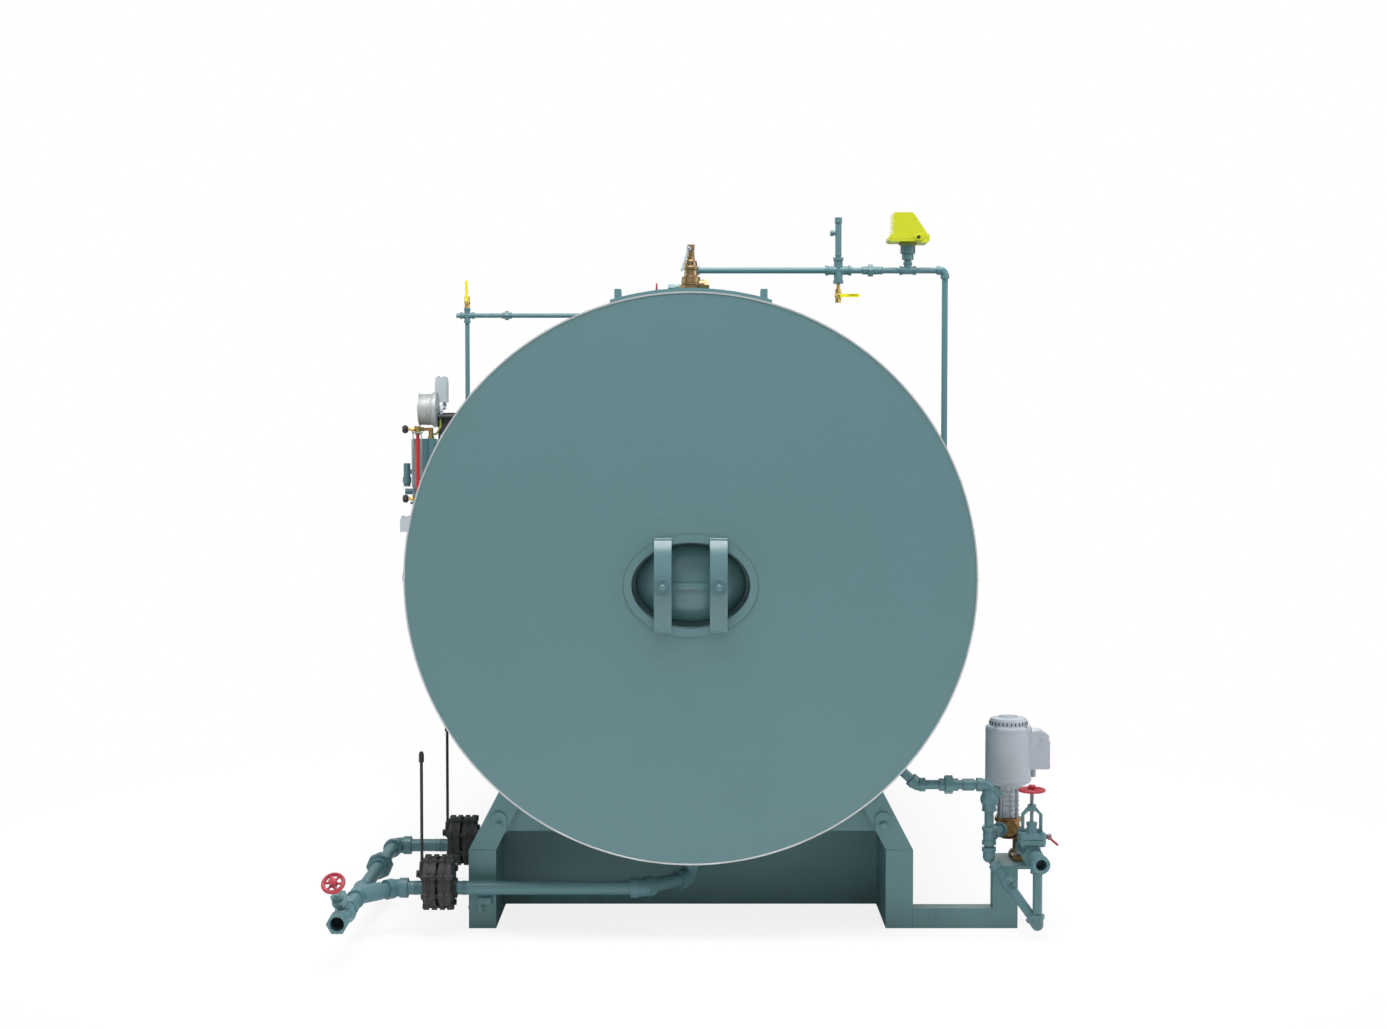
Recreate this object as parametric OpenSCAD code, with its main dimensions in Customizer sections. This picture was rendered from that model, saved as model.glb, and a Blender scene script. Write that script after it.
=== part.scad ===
// Horizontal shell boiler on a steel base, with its feed pump, blowdown piping, level controls
// and top fittings. +Z is up, the rear end looks along -Y, and the origin is on the floor in the
// middle of the four anchor holes.

/* [Vessel] */
// Length over the insulated jacket
jacket_len = 3300; // [2900:50:3800]
// Outside diameter of the pressure shell
shell_od = 1829; // [1780:1:1860]
// Wall of the pressure shell
shell_wall = 12; // [8:1:16]
// Thickness of the insulation round the shell
insulation = 75; // [60:1:90]
// Sheet thickness of the jacket and its end plates
skin = 2; // [1.5:0.5:3]
// Height of the vessel axis above the floor
axis_z = 1270; // [1230:5:1330]
// Crown height of each dished head
head_rise = 300; // [240:5:340]
// How far the rolled rim stands outside the jacket
rim_out = 4; // [3:0.5:8]
// Width of the rolled rim along the vessel
rim_w = 14; // [10:1:20]

/* [Manway] */
// Width of the oval opening
manway_w = 412; // [400:1:424]
// Height of the oval opening
manway_h = 300; // [290:1:310]
// How far the opening lies below the vessel axis
manway_drop = 20; // [10:1:30]
// Face width of the ring round the opening
manway_land = 27; // [20:1:34]
// Bulge of the domed cover
cover_bulge = 58; // [45:1:62]
// Width of each yoke
yoke_w = 60; // [52:1:66]
// Distance between the two yokes' centre lines
yoke_pitch = 193; // [180:1:205]
// Distance between the outer ends of a yoke
yoke_span = 330; // [322:1:336]

/* [Base] */
// Width over the floor rails
base_w = 1596; // [1570:2:1630]
// Width of a rail and of a saddle leg
rail_w = 98; // [88:1:108]
// Height of a floor rail
rail_h = 73; // [64:1:80]
// Distance from the end plate to the saddle face
saddle_inset = 206; // [190:1:230]
// Depth of each saddle along the vessel
saddle_deep = 334; // [300:2:380]
// Height at which the legs lean inwards
leg_knee = 283; // [265:1:300]
// Lean of the leg, sideways per unit of height
leg_lean = 0.52; // [0.45:0.01:0.58]
// Plate thickness of the saddles
saddle_plate = 12; // [8:1:16]
// Lower edge of the cradle plate
cradle_z = 345; // [335:1:360]
// Radius of the anchor holes
anchor_r = 11; // [9:0.5:13]
// Spacing of the anchor holes along the vessel
anchor_len = 1700; // [1500:10:1900]
// Reach of each anchor tab from its rail
anchor_tab = 70; // [60:1:80]

/* [Blowdown] */
// Outside radius of the blowdown pipes
blow_r = 24.2; // [21:0.1:26]
// Height of the blowdown pipes' axis
blow_z = 161; // [155:1:170]
// Distance of the rear blowdown pipe from the end plate
near_d = 146; // [140:1:150]
// Distance of the front blowdown pipe from the end plate
far_d = 862; // [830:2:900]
// Distance of the trunk pipe from the vessel axis
trunk_x = 1165; // [1150:1:1200]
// Reach of the outlet behind the end plate
outlet_reach = 372; // [350:1:400]
// Distance of the quick-opening valves from the vessel axis
quick_x = 890; // [880:1:900]
// Radius of the quick-opening valves' round plates
quick_r = 98; // [90:1:104]
// Length of the lever above its post
lever_len = 439; // [360:1:450]
// Radius of the slow-opening valve's bore at the outlet
outlet_r = 24; // [20:0.5:25]
// Outside radius of the slow-opening valve's handwheel
slow_wheel_r = 41; // [36:1:46]

/* [Pump set] */
// Distance of the pump axis from the vessel axis
pump_x = 1157; // [1150:1:1170]
// Distance of the pump axis from the end plate
pump_d = 330; // [310:1:350]
// Height of the pump stand's top
stand_z = 226; // [215:1:235]
// Width of the stand's post
post_w = 89; // [80:1:95]
// Radius of the motor's housing
motor_r = 83; // [76:1:90]
// Height of the motor's housing
motor_h = 214; // [200:1:225]
// Radius of the ribbed stage sleeve
sleeve_r = 38; // [34:0.5:42]
// Distance of the suction line from the vessel axis
suction_x = 1208; // [1200:1:1216]
// Height of the suction line
suction_z = 285; // [280:1:292]
// Outside radius of the suction pipe
suction_r = 24.2; // [22:0.1:25]
// Radius of the feedwater inlet's bore
inlet_r = 19; // [16:0.5:20]
// Outside radius of the feed and bypass pipes
feed_r = 16.7; // [14:0.1:18]
// Height of the feed line that enters the vessel
feed_z = 530; // [520:1:540]
// Outside radius of the gate valve's handwheel
gate_wheel_r = 48; // [44:1:54]

/* [Top fittings] */
// Height of the crown pad above the jacket
pad_rise = 34; // [28:1:40]
// Width across the crown pad
pad_w = 578; // [540:2:620]
// Distance from the end plate to the safety valve
safety_d = 600; // [560:5:640]
// Outside radius of the small top pipes
small_r = 10.7; // [9:0.1:12]
// Rise of the right-hand pipe run above the crown pad
right_rise = 161.5; // [150:0.5:175]
// Distance of the right-hand run from the end plate
right_d = 1400; // [1350:5:1450]
// Distance of the right-hand run's drop from the jacket's side
right_out = 64.5; // [58:0.5:78]
// Rise of the left-hand pipe run above the crown pad
left_rise = 43.5; // [32:0.5:55]
// Distance of the left-hand run from the end plate
left_d = 2500; // [2450:5:2550]
// Distance of the left-hand run's end from the jacket's side
left_out = 70.5; // [64:0.5:78]
// Distance from the end plate to the steam outlet
steam_d = 2000; // [1900:10:2100]
// Rise of the steam outlet's flange face above the crown pad
steam_rise = 104.5; // [85:0.5:115]
// Bolt circle of the steam outlet
steam_pcd = 190.5; // [185:0.5:195]
// Radius of a bolt hole in the steam outlet
steam_hole_r = 9.5; // [8:0.5:10]

/* [Level controls] */
// Distance of the water column's axis from the jacket's side
column_out = 293.5; // [285:0.5:303]
// Radius of the water column
column_r = 38; // [34:1:42]
// Distance of the gauge glass from the jacket's side
glass_out = 298.5; // [294:0.5:310]
// Height of the upper gauge cock
cock_top_z = 1801; // [1780:1:1815]
// Height of the lower gauge cock
cock_low_z = 1474; // [1460:1:1490]
// Radius of the pressure gauge's case
gauge_r = 76; // [70:1:82]

/* [Hidden] */
$fn = 48;

shell_r = shell_od / 2;
jacket_r = shell_r + insulation + skin;
seat = 0.2;                       // gap between faces that only rest on each other
pin_slack = 0.05;                 // radial clearance of a turning hub on its post
rear_y = -jacket_len / 2;
crown_z = axis_z + jacket_r + pad_rise;
right_z = crown_z + right_rise;
right_reach = jacket_r + right_out;
left_z = crown_z + left_rise;
left_reach = jacket_r + left_out;
steam_z = crown_z + steam_rise;
column_x = jacket_r + column_out;
glass_x = jacket_r + glass_out;
teal = [0.38, 0.51, 0.53];
brass = [0.72, 0.55, 0.3];
black = [0.17, 0.17, 0.17];
steel = [0.66, 0.68, 0.7];
grey = [0.66, 0.69, 0.73];
red = [0.66, 0.16, 0.2];
yellow = [0.9, 0.8, 0.1];

// places given as distance to the right, distance from the rear end plate, and height
function at(x, d, z) = [x, rear_y + d, z];
function unit(v) = v / norm(v);

// right-handed frame at o with its X along u and its Y along v
module on_axes(o, u, v) {
  w = cross(u, v);
  multmatrix([
    [u[0], v[0], w[0], o[0]],
    [u[1], v[1], w[1], o[1]],
    [u[2], v[2], w[2], o[2]],
    [0, 0, 0, 1]
  ]) children();
}

// any unit vector square to a
function square_to(a) = abs(a[2]) < 0.9 ? unit(cross(a, [0, 0, 1])) : unit(cross(a, [1, 0, 0]));

// children drawn along +Z are stood at p and pointed along a
module along(p, a) {
  u = square_to(a);
  on_axes(p, u, cross(a, u)) children();
}

module rod(p, q, r) along(p, unit(q - p)) cylinder(h = norm(q - p), r = r);

// hexagon nut of flat-to-flat radius r, length h, starting at p
module hex_nut(p, a, r, h) along(p, a) cylinder(h = h, r = r / cos(30), $fn = 6);

// round bend of pipe radius r, from leg a to leg b, with a socket bead on each leg
lap = 1;                          // pieces of one casting run this far into each other
module bend(p, a, b, r, bend_r, beads = true) {
  turn = 180 - acos(a * b);
  t = bend_r * tan(turn / 2);
  n = unit(b - (a * b) * a);
  on_axes(p + t * a + bend_r * n, -n, -a)
    rotate_extrude(angle = turn) translate([bend_r, 0]) circle(r = r);
  if (beads) for (leg = [a, b])
    rod(p + (t - lap) * leg, p + (t + 0.9 * r) * leg, 1.14 * r);
}

// straight pipes that stop at the bends instead of crossing in them
module routed(pts, r, bend_r, swell = 1.28) {
  last = len(pts) - 1;
  for (i = [0:last - 1]) {
    way = unit(pts[i + 1] - pts[i]);
    cut_a = i == 0 ? 0 : trim(pts[i - 1], pts[i], pts[i + 1], bend_r) - lap;
    cut_b = i == last - 1 ? 0 : trim(pts[i], pts[i + 1], pts[i + 2], bend_r) - lap;
    rod(pts[i] + cut_a * way, pts[i + 1] - cut_b * way, r);
  }
  for (i = [1:last - 1])
    bend(pts[i], unit(pts[i - 1] - pts[i]), unit(pts[i + 1] - pts[i]), swell * r, bend_r,
         swell > 1.1);
}
function trim(a, p, b, bend_r) =
  bend_r * tan((180 - acos(unit(a - p) * unit(b - p))) / 2);

// tee or cross: a body with a socket bead on each of the given legs
module branch_fitting(p, legs, r, reach) {
  translate(p) sphere(r = 1.3 * r);
  for (leg = legs) {
    rod(p, p + reach * leg, 1.28 * r);
    rod(p + (reach - 0.8 * r) * leg, p + reach * leg, 1.5 * r);
  }
}

// screwed union: octagon nut between two collars, centred on p
module pipe_union(p, a, r) {
  rod(p - 2 * r * a, p + 2 * r * a, 1.35 * r);
  along(p - 0.8 * r * a, a) cylinder(h = 1.6 * r, r = 2 * r, $fn = 8);
}

// socket on a pipe end
module coupling(p, a, r, h) rod(p, p + h * a, 1.3 * r);

module oval(w, h, steps = 72)
  polygon([for (i = [0:steps - 1]) [w / 2 * cos(360 * i / steps), h / 2 * sin(360 * i / steps)]]);

// plate of thickness t lying square to Y at distance d, drawn in X and Z
module upright(d, t) translate(at(0, d, 0)) rotate([90, 0, 0]) translate([0, 0, -t])
  linear_extrude(t) children();

// everything that passes through the insulation: from the axis to p, clear by gap
module nozzle_ways(gap) {
  down = [0, 0, -1];
  up = [0, 0, 1];
  feed_way = unit([feed_tip[0], 0, feed_tip[2] - axis_z]);
  for (d = [near_nozzle_d, far_d]) way(d, down, blow_r + gap);
  for (d = [safety_d, steam_d, right_d, left_d, small_tap_d]) way(d, up, top_r(d) + gap);
  way(riser_d, feed_way, feed_r + gap);
  for (z = [steam_leg_z, water_leg_z]) translate(at(0, left_d, z)) rotate([0, -90, 0])
    cylinder(h = jacket_r + 50, r = small_r + 3 + gap);
  translate(at(0, right_d, right_foot_z)) rotate([0, 90, 0])
    cylinder(h = jacket_r + 50, r = run_r + gap);
}
module way(d, a, r) rod(at(0, d, axis_z), at(0, d, axis_z) + (jacket_r + 50) * a, r);

near_nozzle_d = 317;
small_tap_d = 760;
feed_tip = [803, 0, feed_z];
steam_leg_z = 1740;
water_leg_z = 1180;
right_foot_z = 1420;
function top_r(d) = d == safety_d ? 32 : d == steam_d ? 57 : d == small_tap_d ? 14 : small_r + 4;

// how far out a level pipe of radius r at height z can end without cutting into the shell
function shell_side(z, r) = sqrt(pow(shell_r, 2) - pow(abs(axis_z - z) - r, 2)) + seat;

// profile of a dished head with its flat side at height 0, as wall of thickness shell_wall
module head_profile(steps = 24) {
  polygon(concat(
    [for (i = [0:steps]) [shell_r * cos(90 * i / steps), head_rise * sin(90 * i / steps)]],
    [for (i = [0:steps]) [(shell_r - shell_wall) * sin(90 * i / steps),
                          (head_rise - shell_wall) * cos(90 * i / steps)]]));
}
module head(tangent_d, outward) along(at(0, tangent_d, axis_z), [0, outward, 0])
  rotate_extrude($fn = 96) head_profile();

head_gap = insulation;                       // space between a head's crown and the end plate
tangent = skin + head_gap + head_rise;       // from an end plate to the head's weld
manway_z = axis_z - manway_drop;
ring_w = manway_w + 2 * manway_land;
ring_h = manway_h + 2 * manway_land;
ring_face = -6;                              // the ring stands this far behind the end plate
ring_end = skin + head_gap + 22;

module tube_y(d0, d1, r_out, r_in) translate(at(0, d1, axis_z)) rotate([90, 0, 0])
  difference() {
    cylinder(h = d1 - d0, r = r_out, $fn = 128);
    translate([0, 0, -1]) cylinder(h = d1 - d0 + 2, r = r_in, $fn = 128);
  }

module disc_y(d0, d1, r) rod(at(0, d0, axis_z), at(0, d1, axis_z), r, $fn = 128);

module pressure_shell() color(steel)
  tube_y(tangent, jacket_len - tangent, shell_r, shell_r - shell_wall);

module rear_head() color(steel) difference() {
  head(tangent, -1);
  upright(0, tangent) translate([0, manway_z]) oval(ring_w + 2 * seat, ring_h + 2 * seat);
}

module front_head() color(steel) head(jacket_len - tangent, 1);

module insulation_wrap() color([0.85, 0.82, 0.7]) difference() {
  tube_y(skin + seat, jacket_len - skin - seat, jacket_r - skin - seat, shell_r + seat);
  nozzle_ways(4);
}

module jacket() color(teal) difference() {
  tube_y(skin, jacket_len - skin, jacket_r, jacket_r - skin);
  nozzle_ways(3);
}

module rear_plate() color(teal) difference() {
  disc_y(0, skin, jacket_r);
  upright(-1, skin + 2) translate([0, manway_z]) oval(ring_w + 2 * seat, ring_h + 2 * seat);
}

module front_plate() color(teal) difference() {
  disc_y(jacket_len - skin, jacket_len, jacket_r);
  disc_y(jacket_len - skin - 1, jacket_len + 1, front_neck_r + seat);
}

// rolled angle over the edge of each end plate
rim_lip = 1.5;
module rim() rotate_extrude($fn = 128) polygon([
  [jacket_r - rim_lip, -seat], [jacket_r + seat, -seat], [jacket_r + seat, -rim_w],
  [jacket_r + rim_out, -rim_w], [jacket_r + rim_out, 2], [jacket_r - rim_lip, 2]]);
module end_rims() color([0.78, 0.78, 0.78]) {
  along(at(0, -seat, axis_z), [0, -1, 0]) rim();
  along(at(0, jacket_len + seat, axis_z), [0, 1, 0]) rim();
}

front_neck_r = 230;
front_flange_r = 290;
front_flange_t = 30;
front_bolts = 16;
// depth of the head's curve at radius r below its crown
function head_drop(r) = head_rise * (1 - sqrt(1 - pow(r / shell_r, 2)));

// heater opening in the front head, closed by a blind flange
module front_cover() color(teal) {
  neck_start = jacket_len - skin - head_gap - head_drop(front_neck_r);
  face = jacket_len + 40;
  difference() {
    disc_y(neck_start, face, front_neck_r);
    disc_y(neck_start - 60, face - 20, front_neck_r - 14);
    head(jacket_len - tangent, 1);
  }
  disc_y(face, face + 2 * front_flange_t, front_flange_r);
  disc_y(face + 2 * front_flange_t, face + 2 * front_flange_t + 16, front_flange_r - 62);
  for (i = [0:front_bolts - 1]) {
    a = 360 * (i + 0.5) / front_bolts;
    p = at((front_flange_r - 28) * cos(a), face + 2 * front_flange_t,
           axis_z + (front_flange_r - 28) * sin(a));
    hex_nut(p, [0, 1, 0], 16, 18);
  }
}

module manway_ring() color(teal) translate([0, 0, manway_z]) difference() {
  upright(ring_face, ring_end - ring_face) oval(ring_w, ring_h);
  upright(ring_face - 1, ring_end - ring_face + 2) oval(manway_w, manway_h);
}

// the cover seats on the ring's inner end and its dome comes out through the opening
cover_lip = 14;
module manway_cover() color(teal) translate([0, 0, manway_z]) {
  upright(ring_end + seat, cover_lip) oval(manway_w + 2 * cover_lip, manway_h + 2 * cover_lip);
  intersection() {
    upright(ring_end + seat - 120, 121) oval(manway_w, manway_h);
    translate(at(0, ring_end + seat, 0)) scale([manway_w / 2 - 12, cover_bulge, manway_h / 2 - 12])
      sphere(r = 1, $fn = 64);
  }
}

// bulge of the dome at distance x from its middle
function dome_at(x) = cover_bulge * sqrt(1 - pow(x / (manway_w / 2 - 12), 2));

// arched bar from land to land of the ring, held by a stud from the cover
yoke_rise = 62;
yoke_foot = 34;
stud_r = 11;
module yoke_arch() {
  outer_r = (pow(yoke_span / 2, 2) + pow(yoke_rise, 2)) / (2 * yoke_rise);
  inner_rise = yoke_rise - 30;
  inner_half = yoke_span / 2 - yoke_foot;
  inner_r = (pow(inner_half, 2) + pow(inner_rise, 2)) / (2 * inner_rise);
  difference() {
    intersection() {
      translate([yoke_rise - outer_r, 0]) circle(r = outer_r, $fn = 96);
      translate([0, -yoke_span]) square([yoke_rise + 1, 2 * yoke_span]);
    }
    translate([inner_rise - inner_r, 0]) circle(r = inner_r, $fn = 96);
  }
}
module manway_yokes() color(teal) for (side = [-1, 1]) {
  x = side * yoke_pitch / 2;
  face_y = rear_y + ring_face - seat;
  on_axes([x - yoke_w / 2, face_y, manway_z], [0, -1, 0], [0, 0, 1])
    mirror([0, 0, 1]) linear_extrude(yoke_w) yoke_arch();
  stud_tip = ring_face - yoke_rise - 34;
  rod(at(x, ring_end - dome_at(yoke_pitch / 2 - stud_r), manway_z), at(x, stud_tip, manway_z),
      stud_r);
  hex_nut(at(x, ring_face - yoke_rise + 2, manway_z), [0, -1, 0], 18, 22);
}

rail_out = base_w / 2;
rail_in = rail_out - rail_w;
rail_wall = 8;
base_len = jacket_len - 2 * saddle_inset;

// channel rail with its open side outwards, closed by an end plate at both ends
module floor_rail(side) {
  y0 = rear_y + saddle_inset;
  mid_x = side * (rail_in + rail_w / 2);
  translate([mid_x - rail_w / 2, y0, 0]) difference() {
    cube([rail_w, base_len, rail_h]);
    translate([side > 0 ? rail_wall : -1, rail_wall, rail_wall])
      cube([rail_w - rail_wall + 1, base_len - 2 * rail_wall, rail_h - 2 * rail_wall]);
  }
  for (end = [-1, 1]) {
    hole_x = side * anchor_x;
    difference() {
      translate([side > 0 ? rail_in - anchor_tab : -rail_in, end * anchor_len / 2 - 45, 0])
        cube([anchor_tab, 90, saddle_plate]);
      translate([hole_x, end * anchor_len / 2, -1]) cylinder(h = saddle_plate + 2, r = anchor_r);
    }
  }
}
anchor_x = rail_in - anchor_tab / 2;
module floor_rails() color(teal) for (side = [-1, 1]) floor_rail(side);

// outline of a leg that leans in above the knee, inset by a on both sides
leg_top = 620;
module leg_outline(a) {
  lean = leg_lean * (leg_top - leg_knee);
  polygon([
    [rail_in + a, rail_h], [rail_out - a, rail_h], [rail_out - a, leg_knee],
    [rail_out - a - lean, leg_top], [rail_in + a - lean, leg_top], [rail_in + a, leg_knee]]);
}
module cradle_cut(r) translate([0, axis_z]) circle(r = r, $fn = 128);

// d is the face of the saddle and way is +1 where it extends towards the front
module saddle(d, way) {
  r = jacket_r + seat;
  flip = way > 0 ? 0 : 1;
  translate(at(0, d, 0)) mirror([0, flip, 0]) rotate([90, 0, 0]) mirror([0, 0, 1]) {
    for (side = [0, 1]) mirror([side, 0, 0]) {
      linear_extrude(saddle_deep) difference() {
        leg_outline(0);
        leg_outline(saddle_plate);
        cradle_cut(r);
      }
      for (z = [0, saddle_deep - saddle_plate]) translate([0, 0, z])
        linear_extrude(saddle_plate) difference() {
          leg_outline(1);
          cradle_cut(r);
        }
      translate([0, 0, -tab_t]) linear_extrude(tab_t + 1) difference() {
        union() {
          translate([tab_x, tab_z]) square([tab_w, tab_h - tab_w / 2]);
          translate([tab_x + tab_w / 2, tab_z + tab_h - tab_w / 2]) circle(r = tab_w / 2);
        }
        translate([tab_x + tab_w / 2, tab_z + tab_w / 2]) circle(r = 8);
      }
    }
    translate([0, 0, cradle_set]) linear_extrude(saddle_plate) difference() {
      translate([-leg_inner(cradle_z), cradle_z])
        square([2 * leg_inner(cradle_z), leg_top - cradle_z]);
      cradle_cut(r);
      for (side = [0, 1]) mirror([side, 0]) polygon([
        [leg_inner(cradle_z), cradle_z], [leg_inner(leg_top), leg_top], [rail_out, leg_top],
        [rail_out, cradle_z]]);
    }
    translate([0, 0, saddle_deep - saddle_plate]) linear_extrude(saddle_plate) difference() {
      for (side = [0, 1]) mirror([side, 0]) polygon([
        [-1, web_low], [leg_inner(leg_knee), web_low], [leg_inner(leg_knee), leg_knee],
        [leg_inner(leg_top), leg_top], [-1, leg_top]]);
      cradle_cut(r);
      for (side = [0, 1]) mirror([side, 0])
        translate([rail_in, 0]) square([10, rail_h]);
    }
  }
}
function leg_inner(z) = rail_in - leg_lean * (z - leg_knee) + 1;
tab_x = 662;
tab_z = 350;
tab_w = 52;
tab_h = 72;
tab_t = 8;
cradle_set = 40;
web_low = 10;
module rear_saddle() color(teal) saddle(saddle_inset, 1);
module front_saddle() color(teal) saddle(jacket_len - saddle_inset, -1);

// quick-opening valves, far and near, with their levers on posts

// two lobed plates on a narrower waist, bolted through
quick_face = 55;                             // from the valve's middle to its lever-side face
quick_rise = 21;                             // the plates stand this far above the pipe
post_r = 8;
post_up = 50;                                // from the pipe to the post
lever_gap = 12;                              // from the valve's face to the lever's middle
lobes = 8;
plate_t = 17;                                // each lobed plate of the stack
module lobed_plate() {
  circle(r = quick_r - 8);
  for (i = [0:lobes - 1]) rotate(360 * (i + 0.5) / lobes)
    translate([quick_r - 12, 0]) circle(r = 13);
}
module quick_valve(d) {
  left = -quick_x - quick_face;
  right = -quick_x + quick_face;
  z = blow_z + quick_rise;
  on_axes(at(left, d, z), [0, 1, 0], [0, 0, 1]) {
    for (x = [0, 28, 56, 82]) translate([0, 0, x]) linear_extrude(plate_t) lobed_plate();
    cylinder(h = 2 * quick_face - 14, r = quick_r - 30);
    for (i = [0:lobes - 1]) rotate(360 * (i + 0.5) / lobes) translate([quick_r - 12, 0]) {
      cylinder(h = 2 * quick_face - 13, r = 7);
      translate([0, 0, 2 * quick_face - 13]) cylinder(h = 9, r = 12, $fn = 6);
    }
  }
  rod(at(left - 3, d, blow_z), at(left + 20, d, blow_z), 34);
  rod(at(right - 30, d, blow_z), at(right + 3, d, blow_z), 36);
  post = [left, rear_y + d, blow_z + post_up];
  rod(post + [10, 0, 0], post + [-2 * lever_gap - 1, 0, 0], post_r);
  rod(post + [-2 * lever_gap - 1, 0, 0], post + [-2 * lever_gap - 7, 0, 0], post_r + 5);
}
module quick_valves() color(black) for (d = [near_d, far_d]) quick_valve(d);

hub_half = 10;
module quick_lever(d) {
  hub = at(-quick_x - quick_face - lever_gap, d, blow_z + post_up);
  grip = 34;
  difference() {
    union() {
      rod(hub - [hub_half, 0, 0], hub + [hub_half - 4, 0, 0], 16);
      rod(hub, hub + [0, 0, lever_len - 6], 5.5);
    }
    rod(hub - [30, 0, 0], hub + [30, 0, 0], post_r + pin_slack);
  }
  rod(hub + [0, 0, lever_len - grip], hub + [0, 0, lever_len - 8], 8);
  translate(hub + [0, 0, lever_len - 8]) sphere(r = 8);
}
module near_lever() color(black) quick_lever(near_d);
module far_lever() color(black) quick_lever(far_d);

shell_bottom = axis_z - shell_r;
shell_top = axis_z + shell_r;
blow_bend = 38;

// from the shell's bottom to each quick-opening valve
module blowdown_lines() color(teal) {
  inset = near_nozzle_d - near_d;
  valve_end = -quick_x + quick_face + 3 + seat;
  routed([at(0, near_nozzle_d, shell_bottom - seat), at(0, near_nozzle_d, blow_z),
          at(-inset, near_d, blow_z), at(valve_end, near_d, blow_z)], blow_r, blow_bend);
  routed([at(0, far_d, shell_bottom - seat), at(0, far_d, blow_z),
          at(valve_end, far_d, blow_z)], blow_r, blow_bend);
}

// both valves drain into one trunk that runs to the slow-opening valve
valve_len = 222;
trunk_end = -outlet_reach + valve_len;
module blowdown_trunk() color(teal) {
  start = -quick_x - quick_face - 3 - seat;
  side = trunk_x - 1050;
  join_d = near_d - side;
  routed([at(start, far_d, blow_z), at(-trunk_x, far_d, blow_z),
          at(-trunk_x, trunk_end, blow_z)], blow_r, blow_bend);
  routed([at(start, near_d, blow_z), at(-1050, near_d, blow_z), at(-trunk_x, join_d, blow_z)],
         blow_r, blow_bend);
  pipe_union(at(-trunk_x, 500, blow_z), [0, 1, 0], blow_r);
  coupling(at(-trunk_x, join_d - 60, blow_z), [0, 1, 0], blow_r, 150);
  coupling(at(-trunk_x, join_d, blow_z), unit([1, 1, 0]), blow_r, 95);
}

// valve with its stem leaning back at 45 degrees and a bored hexagon outlet
stem_way = unit([-0.12, -1, 1]);
slow_seat_d = trunk_end - 65;
wheel_up = 185;
stem_r = 6;
module slow_valve() color(teal) {
  out = at(-trunk_x, -outlet_reach, blow_z);
  foot = at(-trunk_x, slow_seat_d, blow_z);
  difference() {
    union() {
      rod(out + [0, 20, 0], at(-trunk_x, trunk_end - seat - 4, blow_z), 29);
      translate(foot) sphere(r = 37);
      hex_nut(out, [0, 1, 0], 32, 36);
      hex_nut(out + [0, valve_len - 36 - seat, 0], [0, 1, 0], 32, 36);
      rod(foot, foot + 78 * stem_way, 25);
    }
    rod(out - [0, 1, 0], out + [0, outlet_bore, 0], outlet_r);
  }
  hex_nut(foot + 76 * stem_way, stem_way, 27, 22);
  rod(foot + 90 * stem_way, foot + 112 * stem_way, 14);
  rod(foot + 100 * stem_way, foot + (wheel_up + 12) * stem_way, stem_r);
  hex_nut(foot + (wheel_up + 10) * stem_way, stem_way, 9, 7);
}
outlet_bore = 70;

// spoked handwheel on a stem, centred on p
module handwheel(p, a, rim_r, bar_r, spokes, hub_len) {
  along(p, a) {
    rotate_extrude() translate([rim_r - bar_r, 0]) circle(r = bar_r);
    difference() {
      translate([0, 0, -0.4 * bar_r]) cylinder(h = 0.8 * bar_r, r = rim_r - bar_r);
      cylinder(h = 2 * bar_r, r = 0.66 * rim_r, center = true);
    }
    difference() {
      union() {
        translate([0, 0, -hub_len / 2]) cylinder(h = hub_len, r = 2.1 * stem_r);
        for (i = [0:spokes - 1]) rotate(360 * i / spokes) rotate([0, 90, 0])
          cylinder(h = rim_r - bar_r, r = 0.7 * bar_r);
      }
      translate([0, 0, -hub_len]) cylinder(h = 2 * hub_len, r = stem_r + pin_slack);
    }
  }
}
module slow_wheel() color(red)
  handwheel(at(-trunk_x, slow_seat_d, blow_z) + wheel_up * stem_way, stem_way,
            slow_wheel_r, 6, 6, 16);

// pump stand: a frame off the right-hand rail, with a gusset under its cantilevered plate
stand_deep = 60;
stand_plate = 12;
stand_reach = 216;
stand_out = pump_x + 17;
module pump_stand() color(teal) {
  translate(at(rail_out + seat, saddle_inset, 0))
    cube([stand_out - rail_out - seat, stand_deep, rail_h]);
  translate(at(stand_out - post_w, saddle_inset, rail_h - 1))
    cube([post_w, stand_deep, stand_z - stand_plate - rail_h + 2]);
  translate(at(stand_out - post_w, saddle_inset, stand_z - stand_plate))
    cube([post_w + 62, stand_reach, stand_plate]);
  translate(at(stand_out - post_w / 2 + 5, saddle_inset + stand_deep - 1, 0)) rotate([0, -90, 0])
    linear_extrude(10) polygon([
      [rail_h + 20, 0], [stand_z - stand_plate + 1, 0],
      [stand_z - stand_plate + 1, stand_reach - stand_deep - 10],
      [stand_z - stand_plate - 14, stand_reach - stand_deep - 10]]);
}

pump_flange = 18;
casing_top = 380;
sleeve_top = 501;
port_d = pump_d - 62;
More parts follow.
